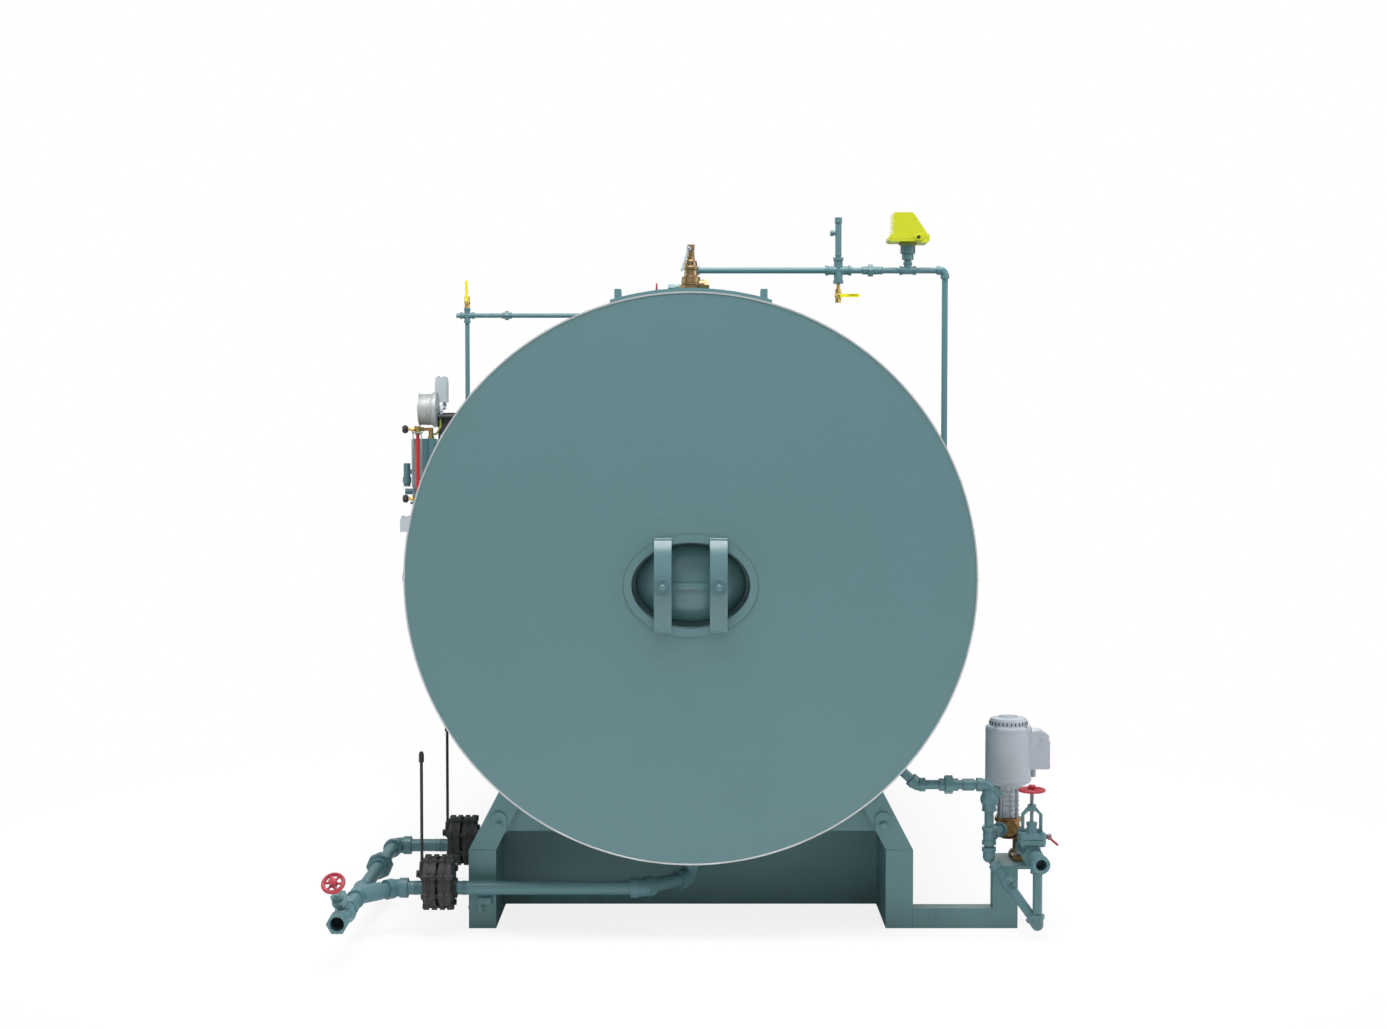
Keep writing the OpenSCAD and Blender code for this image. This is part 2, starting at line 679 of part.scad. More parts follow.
// the casing's head stands on a neck that is set off towards the suction line
neck_off = suction_x - pump_x;
neck_r = 33;
head_r = 43;
head_low = 302;
module pump_casing() color([0.5, 0.4, 0.26]) {
  foot = at(suction_x, pump_d, stand_z + seat);
  translate(foot - [40, 50, 0]) cube([80, 100, pump_flange]);
  translate(foot) cylinder(h = suction_z + 46 - stand_z, r = neck_r);
  translate(at(pump_x, pump_d, 0)) rotate_extrude() polygon([
    [0, head_low], [24, head_low], [head_r, head_low + 20], [head_r, casing_top - 16],
    [head_r + 5, casing_top - 14], [head_r + 5, casing_top], [0, casing_top]]);
  rod(at(pump_x, pump_d, head_low + 22), at(suction_x, pump_d, head_low + 22), 20);
  rod(at(suction_x, pump_d, suction_z), at(suction_x, port_d, suction_z), 30);
  rod(at(pump_x, pump_d, priming_z), at(pump_x, port_d + 14, priming_z), 20);
  rod(at(pump_x, port_d + 24, priming_z), at(pump_x, port_d + 8, priming_z), 27);
  rod(at(pump_x, pump_d, discharge_z), discharge_port, 22);
}
priming_z = 345;

// ribbed stainless sleeve between casing and motor, with its tie bolts
sleeve_ribs = 7;
module pump_sleeve() color(steel) {
  h = sleeve_top - casing_top - 2 * seat;
  translate(at(pump_x, pump_d, casing_top + 2 * seat)) {
    cylinder(h = h, r = sleeve_r);
    for (i = [0:sleeve_ribs - 1]) translate([0, 0, (i + 0.3) * h / sleeve_ribs])
      cylinder(h = 5, r = sleeve_r + 3);
    for (i = [0:3]) rotate(45 + 90 * i) translate([sleeve_r + 3, 0]) cylinder(h = h, r = 5);
    translate([0, 0, h - 12]) cylinder(h = 12, r = sleeve_r + 14);
  }
}

fan_cover_h = 32;
module pump_motor() color(grey)
  translate(at(pump_x, pump_d, sleeve_top)) rotate_extrude($fn = 96) polygon([
    [0, 0], [motor_r - 16, 0], [motor_r - 12, 4], [motor_r - 3, 8], [motor_r, 14],
    [motor_r, motor_h - 6], [motor_r - 5, motor_h], [motor_r - 14, motor_h + 2],
    [motor_r - 15, motor_h + fan_cover_h - 12], [motor_r - 20, motor_h + fan_cover_h - 4],
    [motor_r - 42, motor_h + fan_cover_h], [0, motor_h + fan_cover_h]]);

box_reach = 58;
box_half = 42;
box_h = 106;
module terminal_box() color(grey) {
  z0 = sleeve_top + 59;
  x0 = pump_x + motor_r - 14;
  full = box_reach + 14;
  difference() {
    union() {
      translate(at(x0, pump_d - box_half, z0)) cube([full, 2 * box_half, box_h]);
      intersection() {
        rod(at(x0 + full / 2 - 4, pump_d - box_half, z0 + box_h - 20),
            at(x0 + full / 2 - 4, pump_d + box_half, z0 + box_h - 20), full / 2 + 18);
        translate(at(x0, pump_d - box_half, z0)) cube([full, 2 * box_half, 160]);
      }
      rod(at(x0 + 22, pump_d, z0 - 34), at(x0 + 22, pump_d, z0 + 4), 10);
    }
    translate(at(pump_x, pump_d, sleeve_top - 1)) cylinder(h = motor_h, r = motor_r + seat, $fn = 96);
    for (z = [z0 + 106, z0 + 82])
      rod(at(x0 + full - 34, pump_d - box_half - 1, z),
          at(x0 + full - 34, pump_d - box_half + 4, z), 9);
  }
}

gate_d = 124;
gate_half = 36;
tee_d = 45;
tee_mouth = -29;
// the inlet tee hangs a little low and to the side of the gate valve's axis
tee_x_off = 8;
tee_z = suction_z - 5;
module suction_line() color(teal) {
  tee_x = suction_x + tee_x_off;
  rod(at(suction_x, port_d - seat, suction_z), at(suction_x, port_d - 15, suction_z), 34);
  rod(at(suction_x, port_d - 14, suction_z),
      at(suction_x, gate_d + gate_half + seat, suction_z), suction_r);
  coupling(at(suction_x, gate_d + gate_half + 8, suction_z), [0, 1, 0], suction_r, 40);
  difference() {
    union() {
      rod(at(tee_x, gate_d - gate_half - seat, tee_z), at(tee_x, tee_mouth, tee_z), suction_r + 2);
      rod(at(tee_x, tee_mouth, tee_z), at(tee_x, tee_mouth + 24, tee_z), suction_r + 5);
      rod(at(tee_x, tee_d, tee_z), at(tee_x, tee_d, tee_z - 44), feed_r + 8);
    }
    rod(at(tee_x, tee_mouth - 1, tee_z), at(tee_x, tee_mouth + inlet_deep, tee_z), inlet_r);
  }
}
inlet_deep = 60;

// gate valve with a yoke, a bare stem and a drain cock on its bonnet
bonnet_z = suction_z + 42;
bonnet_h = 36;
bonnet_w = 90;
yoke_top = 455;
gate_wheel_z = 515;
module gate_valve() color(teal) {
  mid = at(suction_x, gate_d, suction_z);
  hex_nut(mid - [0, gate_half, 0], [0, 1, 0], 34, 18);
  hex_nut(mid + [0, gate_half - 18, 0], [0, 1, 0], 34, 18);
  rod(mid - [0, gate_half - 1, 0], mid + [0, gate_half - 1, 0], 30);
  translate(mid) sphere(r = gate_half - 1);
  rod(mid, mid + [0, 0, bonnet_z - suction_z + 1], 32);
  for (z = [0, bonnet_h / 2 + 1]) translate(mid + [0, 0, bonnet_z - suction_z + z])
    linear_extrude(bonnet_h / 2 - 1) intersection() {
      square(bonnet_w, center = true);
      circle(r = 0.62 * bonnet_w);
    }
  translate(mid + [0, 0, bonnet_z - suction_z]) {
    cylinder(h = bonnet_h, r = 30);
    for (x = [-1, 1], y = [-1, 1]) translate([x * 34, y * 34, -7]) {
      cylinder(h = bonnet_h + 14, r = 5);
      for (z = [0, bonnet_h + 7]) translate([0, 0, z]) cylinder(h = 7, r = 9, $fn = 6);
    }
    translate([0, 0, bonnet_h]) cylinder(h = 26, r1 = 24, r2 = 15);
    translate([0, 0, bonnet_h + 26]) cylinder(h = 12, r = 19, $fn = 6);
  }
  yoke_h = yoke_top - bonnet_z - bonnet_h;
  translate([mid[0], mid[1] - 7, bonnet_z + bonnet_h - 1]) rotate([90, 0, 0]) mirror([0, 0, 1])
    linear_extrude(14) difference() {
      union() {
        translate([-37, 0]) square([74, yoke_h - 24]);
        polygon([[-37, yoke_h - 25], [37, yoke_h - 25], [16, yoke_h], [-16, yoke_h]]);
      }
      translate([-27, 14]) square([54, yoke_h - 40]);
      polygon([[-27, yoke_h - 27], [27, yoke_h - 27], [12, yoke_h - 13], [-12, yoke_h - 13]]);
    }
  rod([mid[0], mid[1], yoke_top - 14], [mid[0], mid[1], yoke_top + 8], 15);
  rod([mid[0], mid[1], bonnet_z + bonnet_h + 20], [mid[0], mid[1], gate_wheel_z + 15], stem_r);
  hex_nut([mid[0], mid[1], gate_wheel_z + 10], [0, 0, 1], 9, 6);
  cock = [mid[0] + bonnet_w / 2, mid[1], bonnet_z + 22];
  rod(cock - [8, 0, 0], cock + [drain_out + 10, 0, 0], 9);
  rod(cock + [drain_out, 0, 0], cock + [drain_out, -26, 0], drain_pin_r);
}
module gate_wheel() color(red)
  handwheel([suction_x, rear_y + gate_d, gate_wheel_z], [0, 0, 1], gate_wheel_r, 6, 5, 16);

// flat lever of the drain cock, hanging outwards at a slant
drain_pin_r = 4;
drain_out = 14;
drain_len = 42;
drain_slant = 41;
module drain_lever() color(red) {
  pivot = [suction_x + bonnet_w / 2 + drain_out, rear_y + gate_d - 19, bonnet_z + 22];
  translate(pivot) rotate([90, 0, 0]) difference() {
    union() {
      translate([0, 0, -4]) cylinder(h = 8, r = 8);
      rotate(-drain_slant) translate([0, -4, -2]) cube([drain_len - 4, 8, 4]);
      rotate(-drain_slant) translate([drain_len - 4, 0, -2]) cylinder(h = 4, r = 4);
    }
    translate([0, 0, -10]) cylinder(h = 20, r = drain_pin_r + pin_slack);
  }
}

// the riser's foot, reached by the discharge spool and the slanting bypass pipe
riser_x = 1061;
riser_d = 150;
riser_foot = 272;
discharge_z = 348;
discharge_way = unit(at(riser_x, riser_d, 0) - at(pump_x, pump_d, 0));
discharge_port = at(pump_x, pump_d, discharge_z) + 84 * discharge_way;
low_z = 54;
module bypass_line() color(teal) {
  tee_x = suction_x + tee_x_off;
  top = at(tee_x, tee_d, tee_z - 44 - seat);
  low = at(tee_x, tee_d, low_z);
  high = at(riser_x, riser_d, riser_foot);
  way = unit(high - low);
  stop = high - (1.3 * feed_r + 8) * way;
  rod(low, top, feed_r);
  rod(low, stop, feed_r);
  branch_fitting(low, [[0, 0, 1], way], feed_r, 36);
  knee = low + 150 * way;
  rod(knee, knee + 44 * way, 1.35 * feed_r);
  rod(knee + 22 * way, knee + 22 * way + [0, -30, 22], 0.6 * feed_r);
  rod(knee + 22 * way + [0, -30, 22], knee + 22 * way + [-14, -32, 23], 5);
  coupling(stop - 26 * way, way, feed_r, 26);
}

check_z = 478;
module feed_line() color(teal) {
  foot = at(riser_x, riser_d, riser_foot);
  corner = at(rail_out + 5, riser_d, feed_z);
  radial = unit([corner[0], 0, corner[2] - axis_z]);
  port = at(riser_x, riser_d, discharge_z);
  branch_fitting(foot, [[0, 0, 1]], feed_r, 34);
  branch_fitting(port, [[0, 0, 1], [0, 0, -1], -discharge_way], feed_r, 32);
  rod(port, discharge_port + seat * discharge_way, feed_r);
  rod(discharge_port + 12 * discharge_way, discharge_port + seat * discharge_way, 27);
  routed([foot, at(riser_x, riser_d, feed_z), corner,
          [0, rear_y + riser_d, axis_z] + (shell_r + seat) * radial], feed_r, 26);
  translate(at(riser_x, riser_d, check_z)) sphere(r = 32);
  rod(at(riser_x, riser_d, check_z - 42), at(riser_x, riser_d, check_z + 36), 25);
  hex_nut(at(riser_x, riser_d, check_z) + 10 * [1, 0, 1], unit([1, 0, 1]), 20, 34);
  pipe_union(at(rail_out + 118, riser_d, feed_z), [1, 0, 0], feed_r);
  coupling(at(rail_out + 168, riser_d, feed_z), [1, 0, 0], feed_r, 40);
}

// raised band along the crown of the jacket
pad_start = 240;
module crown_pad() color(teal) difference() {
  intersection() {
    tube_y(pad_start, jacket_len - pad_start, jacket_r + pad_rise, jacket_r + seat);
    translate(at(-pad_w / 2, 0, axis_z)) cube([pad_w, jacket_len, jacket_r + 2 * pad_rise]);
  }
  nozzle_ways(3);
}

lug_d = 400;
lug_w = 24;
lug_x = pad_w / 2 - lug_w - 11;
lug_up = 40;                                 // from the jacket's crown to the top of a lug
lug_tall = 132;
lug_long = 80;
module lifting_lugs() color(teal) difference() {
  for (d = [lug_d, jacket_len - lug_d], side = [-1, 1])
    translate(at(side * (lug_x + lug_w / 2), d, axis_z + jacket_r + lug_up)) difference() {
      translate([-lug_w / 2, -lug_long / 2, -lug_tall]) cube([lug_w, lug_long, lug_tall]);
      rod([-lug_w, 0, -20], [lug_w, 0, -20], 10);
    }
  rod(at(0, 0, axis_z), at(0, jacket_len, axis_z), jacket_r + pad_rise + seat, $fn = 128);
}

// spring safety valve on its nozzle, with a side outlet
safety_top = crown_z + 189.5;
module safety_valve() color(brass) {
  base = crown_z + 16;
  rod([0, rear_y + safety_d, shell_top + seat], [0, rear_y + safety_d, base + 4], 26);
  translate([0, rear_y + safety_d, base]) {
    cylinder(h = 20, r = 44, $fn = 6);
    translate([0, 0, 19]) rotate_extrude() polygon([
      [0, 0], [35, 0], [36, 12], [34, 33], [26, 37], [24, 58], [27, 61], [27, 70], [23, 74],
      [22, 92], [14, 99], [12, safety_top - base - 40], [14, safety_top - base - 38],
      [14, safety_top - base - 21], [12, safety_top - base - 19], [0, safety_top - base - 19]]);
    rod([20, 0, 22], [66, 0, 22], 20);
    hex_nut([50, 0, 22], [1, 0, 0], 22, 18);
  }
  rod([-8, rear_y + safety_d - 8, safety_pin_z], [-8, rear_y + safety_d - 46, safety_pin_z], 3);
}
safety_pin_z = safety_top - 18;
module safety_lever() color(grey) {
  translate([-8, rear_y + safety_d - 38, safety_pin_z]) rotate([90, 0, 0]) difference() {
    union() {
      translate([0, 0, -4]) cylinder(h = 8, r = 9);
      rotate(-108) translate([5, -4, -2.5]) cube([79, 8, 5]);
      rotate(-108) translate([84, 0, -3.5]) cylinder(h = 7, r = 6);
    }
    translate([0, 0, -10]) cylinder(h = 20, r = 3 + pin_slack);
  }
}

// test connection behind the crown pad's edge, with a small shut-off cock
tap_z = crown_z + 40;
module top_fittings() color(teal) {
  head = at(0, small_tap_d, tap_z);
  rod(at(0, small_tap_d, shell_top + seat), head, 10);
  branch_fitting(head, [[0, 0, -1], [-1, 0, 0]], 9, 20);
  rod(head, head - [84, 0, 0], 9);
  for (x = [26, 40]) rod(head - [x, 0, 0], head - [x + 12, 0, 0], 14);
  hex_nut(head - [88, 0, 0], [1, 0, 0], 13, 28);
  rod(head - [80, 0, 9], head - [tap_lever_x + 6, 0, 9], 3);
  translate(head - [tap_lever_x + 2.5, 4, 14]) cube([5, 8, 30]);
}
tap_lever_x = 132;

steam_r = 57;
steam_bore_r = 51;
steam_flange_r = 114.5;
steam_flange_t = 24;
steam_holes = 8;
module steam_outlet() color(teal) translate(at(0, steam_d, 0)) difference() {
  union() {
    translate([0, 0, shell_top + seat]) cylinder(h = steam_z - shell_top - seat - 1, r = steam_r);
    translate([0, 0, steam_z - steam_flange_t]) cylinder(h = steam_flange_t, r = steam_flange_r);
    translate([0, 0, steam_z - steam_flange_t - 30]) cylinder(h = 31, r1 = steam_r, r2 = 76);
  }
  translate([0, 0, shell_top + 20]) cylinder(h = steam_z - shell_top, r = steam_bore_r);
  for (i = [0:steam_holes - 1]) rotate(360 * (i + 0.5) / steam_holes)
    translate([steam_pcd / 2, 0, steam_z - 2 * steam_flange_t])
      cylinder(h = 3 * steam_flange_t, r = steam_hole_r);
}

run_r = 12.5;
cross_reach = 54;
cross_x = 612;
tee_x = 901;
module right_run() color(teal) {
  cross_p = at(cross_x, right_d, right_z);
  tee_p = at(tee_x, right_d, right_z);
  routed([at(0, right_d, shell_top + seat), at(0, right_d, right_z),
          at(right_reach, right_d, right_z), at(right_reach, right_d, right_foot_z),
          at(shell_side(right_foot_z, run_r), right_d, right_foot_z)], run_r, 20);
  branch_fitting(cross_p, [[1, 0, 0], [-1, 0, 0], [0, 0, 1], [0, 0, -1]], 14, cross_reach);
  branch_fitting(tee_p, [[1, 0, 0], [-1, 0, 0], [0, 0, 1]], run_r, 34);
  pipe_union(at(cross_x + 134, right_d, right_z), [1, 0, 0], run_r);
  coupling(at(cross_x + 100, right_d, right_z), [1, 0, 0], run_r, 84);
  rod(cross_p, cross_p + [0, 0, 98], small_r);
  rod(cross_p + [0, 0, 60], cross_p + [0, 0, 214], 13);
  rod(cross_p + [0, 0, 196], cross_p + [0, 0, 219], 15);
  rod(cross_p + [0, 0, 155], cross_p + [-30, 0, 155], 8);
  rod(cross_p + [-18, 0, 155], cross_p + [-34, 0, 155], 12);
  rod(tee_p, tee_p + [0, 0, neck_top - right_z], 15);
  rod(tee_p + [0, 0, 44], tee_p + [0, 0, 78], 24);
  rod(tee_p + [0, 0, 70], tee_p + [0, 0, neck_top - right_z], 31);
}
neck_top = right_z + 115;

// wedge-shaped hood over the sensor, upright on its left and sloping on its right
hood_half = 58;
hood_top = 2692 - 2572;
module sensor_cover() color([0.72, 0.78, 0.1]) {
  translate(at(tee_x, right_d - hood_half, neck_top)) rotate([90, 0, 0]) mirror([0, 0, 1]) {
    linear_extrude(2 * hood_half) polygon([
      [-68, 18], [-67, hood_top - 6], [-61, hood_top], [11, hood_top], [20, hood_top - 6],
      [75, 32], [80, 24], [80, 18]]);
    translate([0, 0, -6]) linear_extrude(2 * hood_half + 12) polygon([
      [-85, 5], [-86, 18], [-81, 26], [80, 30], [84, 22], [84, 4], [76, -5], [48, -5],
      [34, seat], [-74, seat]]);
  }
}

// small ball valve along the pipe axis a, with its lever post towards the rear
cock_body = 56;
module ball_cock(p, a) {
  rod(p - 20 * a, p + 20 * a, 12);
  translate(p) sphere(r = 15);
  hex_nut(p - cock_body / 2 * a, a, 12, 14);
  hex_nut(p + (cock_body / 2 - 14) * a, a, 12, 14);
  rod(p, p - [0, lever_plane + 5, 0], 4);
  rod(p - [0, lever_plane + 4, 0], p - [0, lever_plane + 8, 0], 6);
}
lever_plane = 24;

// lever of a ball valve, pointing along w from its post
module ball_lever(p, w, len) {
  hub = p - [0, lever_plane, 0];
  on_axes(hub, w, cross([0, -1, 0], w)) difference() {
    union() {
      translate([0, 0, -3]) cylinder(h = 6, r = 9);
      translate([0, -7, -3]) cube([len - 7, 14, 3]);
      translate([len - 7, 0, -3]) cylinder(h = 3, r = 7);
      translate([len - 46, -7, -3]) cube([39, 3, 8]);
      translate([len - 46, 4, -3]) cube([39, 3, 8]);
    }
    translate([0, 0, -10]) cylinder(h = 20, r = 4 + pin_slack);
  }
}
cock_drop = 105;                             // from the right run to its drain cock
right_cock_z = right_z - cock_drop;
left_cock_z = left_z + 34 + seat + cock_body / 2;
module ball_valves() color(brass) {
  p = at(cross_x, right_d, right_cock_z);
  ball_cock(p, [0, 0, 1]);
  rod(p + [0, 0, 20], p + [0, 0, cock_drop - cross_reach - seat], 8);
  ball_cock(at(-left_reach, left_d, left_cock_z), [0, 0, 1]);
}
module right_lever() color(yellow) ball_lever(at(cross_x, right_d, right_cock_z), [1, 0, 0], 88);

module left_run() color(teal) {
  cross_p = at(-left_reach, left_d, left_z);
  routed([at(0, left_d, shell_top + seat), at(0, left_d, left_z), cross_p + [0.5, 0, 0]],
         small_r, 20);
  branch_fitting(cross_p, [[1, 0, 0], [-1, 0, 0], [0, 0, 1], [0, 0, -1]], small_r, 34);
  hex_nut(cross_p - [33, 0, 0], [-1, 0, 0], 11, 18);
  rod(cross_p, at(-left_reach, left_d, gauge_bar_z + 28 + seat), small_r);
  pipe_union(at(-874, left_d, left_z), [1, 0, 0], small_r);
}
module left_lever() color(yellow) ball_lever(at(-left_reach, left_d, left_cock_z), [0, 0, 1], 104);

// water column with its legs to the shell and the bar that carries the gauge
column_foot = cock_low_z - 34;
column_top = cock_top_z - 44;
post_x = column_x - 48;                      // brass post over the column's second chamber
gauge_bar_z = 1862;
bar_start = 28;
gauge_back = column_x - 79;
leg_r = small_r + 3;
try_x = column_x + 67;
module water_column() color(teal) {
  mid = at(-column_x, left_d, 0);
  rod(mid + [0, 0, column_foot], mid + [0, 0, column_top], column_r);
  rod(mid + [0, 0, column_foot + 6], mid + [0, 0, column_foot + 17], column_r + 14);
  rod(at(-post_x, left_d, column_foot + 180), at(-post_x, left_d, column_top), 25);
  rod(mid + [0, 0, steam_leg_z], at(-shell_side(steam_leg_z, leg_r), left_d, steam_leg_z), leg_r);
  routed([mid + [0, 0, column_foot + 10], mid + [0, 0, water_leg_z],
          at(-shell_side(water_leg_z, leg_r), left_d, water_leg_z)], leg_r, 24);
  branch_fitting(at(-left_reach, left_d, steam_leg_z), [[1, 0, 0], [-1, 0, 0], [0, 0, 1]],
                 leg_r, 34);
  rod(at(-left_reach, left_d, steam_leg_z), at(-left_reach, left_d, gauge_bar_z), small_r);
  branch_fitting(at(-left_reach, left_d, gauge_bar_z), [[0, 0, 1], [0, 0, -1], [-1, 0, 0]],
                 small_r, bar_start);
  rod(at(-try_x, left_d, 1530), at(-try_x, left_d, 1640), 16);
  rod(at(-try_x, left_d, 1545), at(-try_x, left_d, 1575), 20);
  rod(at(-try_x, left_d, 1600), at(-column_x, left_d, 1600), 11);
  rod(at(-try_x - 8, left_d, 1506), at(-column_x, left_d, 1506), 14);
}

// tubular gauge glass between two cocks on the column
glass_front = 70;
cock_half = 15;
glass_r = 8;
module gauge_glass() color(red) {
  foot = at(-glass_x, left_d - glass_front, 0);
  rod(foot + [0, 0, cock_low_z + cock_half + seat], foot + [0, 0, cock_top_z - cock_half - seat],
      glass_r);
}
module gauge_cocks() color(brass) for (z = [cock_low_z, cock_top_z]) {
  p = at(-glass_x, left_d - glass_front, z);
  branch_r = 9;
  reach = glass_front - sqrt(pow(column_r, 2) - pow(abs(glass_x - column_x) - branch_r, 2)) - seat;
  rod(p - [0, 0, cock_half], p + [0, 0, cock_half], 15);
  hex_nut(p + [0, 17, 0], [0, 1, 0], 13, 10);
  if (z < column_top) rod(p, p + [0, reach, 0], branch_r);
  else {
    routed([p, p + [0, glass_front, 0], at(-post_x, left_d, z)], 7, 12);
    rod(at(-post_x, left_d, column_top + seat), at(-post_x, left_d, z + 8), 11);
    rod(at(-post_x, left_d, column_top + seat), at(-post_x, left_d, column_top + 12), 15);
  }
  rod(p, p - [knob_start, 0, 0], 6);
  hex_nut(p - [18, 0, 0], [-1, 0, 0], 11, 14);
}
knob_start = 45;
module cock_knobs() color(black) for (z = [cock_low_z, cock_top_z])
  along(at(-glass_x - knob_start - seat, left_d - glass_front, z), [-1, 0, 0])
    rotate_extrude() polygon([[0, 0], [12, 0], [18, 6], [18, 20], [14, 26], [0, 26]]);

guard_w = 52;
guard_front = 46;
module gauge_guard() color(grey) {
  low = cock_low_z + 54;
  high = cock_top_z - 46;
  translate(at(-column_x - column_r, left_d - guard_front, low))
    cube([guard_w, 2, high - low]);
  for (z = [low + 30, high - 30])
    rod(at(-column_x - 4, left_d - guard_front + 1, z),
        at(-column_x - 4, left_d - column_r - seat, z), 5);
}

// round gauge that looks away from the vessel
gauge_face = 1291;
module pressure_gauge() color([0.75, 0.75, 0.76])
  along(at(-gauge_back, left_d, gauge_z), [-1, 0, 0]) rotate_extrude($fn = 96) polygon([
    [0, 0], [gauge_r + 8, 0], [gauge_r + 8, 14], [gauge_r, 24], [gauge_r - 3, 30],
    [gauge_r - 3, 76], [gauge_r, 78], [gauge_r, 85], [gauge_r - 6, 85], [gauge_r - 7, 80],
    [0, 80]]);
gauge_z = 1895;

siphon_d = 4;
module siphon_tube() color([0.62, 0.66, 0.3]) routed([
  at(-siphon_x, left_d, gauge_bar_z - small_r - seat), at(-siphon_x, left_d, siphon_z + 34),
  at(-siphon_x - 20, left_d, siphon_z), at(seat + siphon_end - post_x, left_d, siphon_z)],
  siphon_d, 8);
siphon_x = gauge_back - 14;
siphon_z = 1778;
siphon_end = 11;

switch_back = 125;
switch_z = 1931;
switch_x = gauge_back - 18;
module pressure_switch() color(grey) {
  routed([at(-switch_x, left_d, gauge_bar_z + small_r + seat), at(-switch_x, left_d, 1905),
          at(-switch_x, left_d + switch_back, 1905),
          at(-switch_x, left_d + switch_back, switch_z + 2)], 7, 12);
  translate(at(-switch_x - 13, left_d + switch_back, switch_z)) {
    linear_extrude(104) switch_plan(0);
    translate([0, 0, 104]) linear_extrude(16) switch_plan(6);
  }
}
module switch_plan(a) intersection() {
  square([60 - a, 60 - a], center = true);
  circle(r = 38 - a / 2);
}

// box on a bar that also carries the gauge
box_low = 1720;
module control_box() color(black) {
  rod(at(-left_reach - bar_start - seat, left_d, gauge_bar_z),
      at(seat - gauge_back, left_d, gauge_bar_z), small_r);
  translate(at(1 - gauge_back, left_d + leg_r + 6, box_low)) cube([80, 80, 160]);
  translate(at(7 - gauge_back, left_d + leg_r + 1, box_low + 6)) cube([68, 6, 148]);
  translate(at(20 - gauge_back, left_d, gauge_bar_z - 6)) cube([50, leg_r + 7, 12]);
}

// drain of the gauge glass, with the probe head and a cap on it
drain_foot = 1104;
module probe_heads() color(grey) {
  top = at(-glass_x, left_d - glass_front, cock_low_z - cock_half - seat);
  foot = at(-glass_x, left_d - glass_front, drain_foot);
  routed([top, foot, foot - [44, 0, 0]], 8, 14);
  translate(foot + [-82, -30, 214]) cube([51, 60, 62]);
  translate(foot + [-77, -25, 276]) cube([41, 50, 10]);
  rod(foot + [-33, 0, 244], foot + [0, 0, 244], 9);
  rod(foot - [42, 0, 0], foot - [66, 0, 0], 36);
  rod(foot - [66, 0, 0], foot - [74, 0, 0], 22);
}

pressure_shell();
rear_head();
front_head();
insulation_wrap();
jacket();
rear_plate();
front_plate();
end_rims();
front_cover();
manway_ring();
manway_cover();
manway_yokes();
floor_rails();
rear_saddle();
front_saddle();
pump_stand();
pump_casing();
pump_sleeve();
pump_motor();
terminal_box();
suction_line();
gate_valve();
gate_wheel();
drain_lever();
bypass_line();
feed_line();
blowdown_lines();
quick_valves();
near_lever();
far_lever();
blowdown_trunk();
slow_valve();
slow_wheel();
crown_pad();
lifting_lugs();
safety_valve();
safety_lever();
top_fittings();
steam_outlet();
right_run();
right_lever();
sensor_cover();
left_run();
left_lever();
ball_valves();
water_column();
gauge_glass();
gauge_cocks();
cock_knobs();
gauge_guard();
pressure_gauge();
siphon_tube();
pressure_switch();
control_box();
probe_heads();
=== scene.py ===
import math
import bpy
from mathutils import Matrix, Vector


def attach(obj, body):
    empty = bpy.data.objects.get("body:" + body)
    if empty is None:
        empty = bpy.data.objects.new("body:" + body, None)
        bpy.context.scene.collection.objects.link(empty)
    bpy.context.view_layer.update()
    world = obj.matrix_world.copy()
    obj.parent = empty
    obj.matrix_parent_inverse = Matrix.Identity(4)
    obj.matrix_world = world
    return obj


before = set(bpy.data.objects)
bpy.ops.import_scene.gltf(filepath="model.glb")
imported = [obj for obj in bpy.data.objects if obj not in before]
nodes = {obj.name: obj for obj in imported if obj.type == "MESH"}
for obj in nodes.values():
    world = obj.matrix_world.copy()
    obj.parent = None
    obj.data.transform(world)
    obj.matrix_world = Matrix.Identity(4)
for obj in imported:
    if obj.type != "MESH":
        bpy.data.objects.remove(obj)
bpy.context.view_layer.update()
print("boiler: frame loaded,", len(nodes), "nodes")


def place(x, depth, z):
    # millimetres right of the axis, behind the rear plate and above the floor
    return Vector((x / 1000, depth / 1000 - 1.65, z / 1000))


def srgb(red, green, blue):
    # screen colour 0-255 to the linear colour that a shader takes
    def lin(c):
        c = c / 255
        return c / 12.92 if c <= 0.04045 else ((c + 0.055) / 1.055) ** 2.4
    return (lin(red), lin(green), lin(blue), 1)


def addNode(tree, kind, x, y, **values):
    node = tree.nodes.new(kind)
    node.location = (x, y)
    for key, value in values.items():
        setattr(node, key, value)
    return node


def newGroup(name, inputs):
    # an input without a default is a vector; every group gives colour, roughness and height
    group = bpy.data.node_groups.new(name, "ShaderNodeTree")
    for title, default in inputs:
        kind = "Vector" if default is None else "Float" if isinstance(default, float) else "Color"
        socket = group.interface.new_socket(title, in_out="INPUT", socket_type="NodeSocket" + kind)
        if default is not None:
            socket.default_value = default
    for title, kind in (("Color", "Color"), ("Roughness", "Float"), ("Height", "Float")):
        group.interface.new_socket(title, in_out="OUTPUT", socket_type="NodeSocket" + kind)
    return group


def setInputs(node, values):
    for key, value in values.items():
        node.inputs[key].default_value = value


def rampNode(tree, x, y, low, high, source, toLow=0, toHigh=1):
    ramp = addNode(tree, "ShaderNodeMapRange", x, y)
    setInputs(ramp, {"From Min": low, "From Max": high, "To Min": toLow, "To Max": toHigh})
    tree.links.new(source, ramp.inputs["Value"])
    return ramp.outputs["Result"]


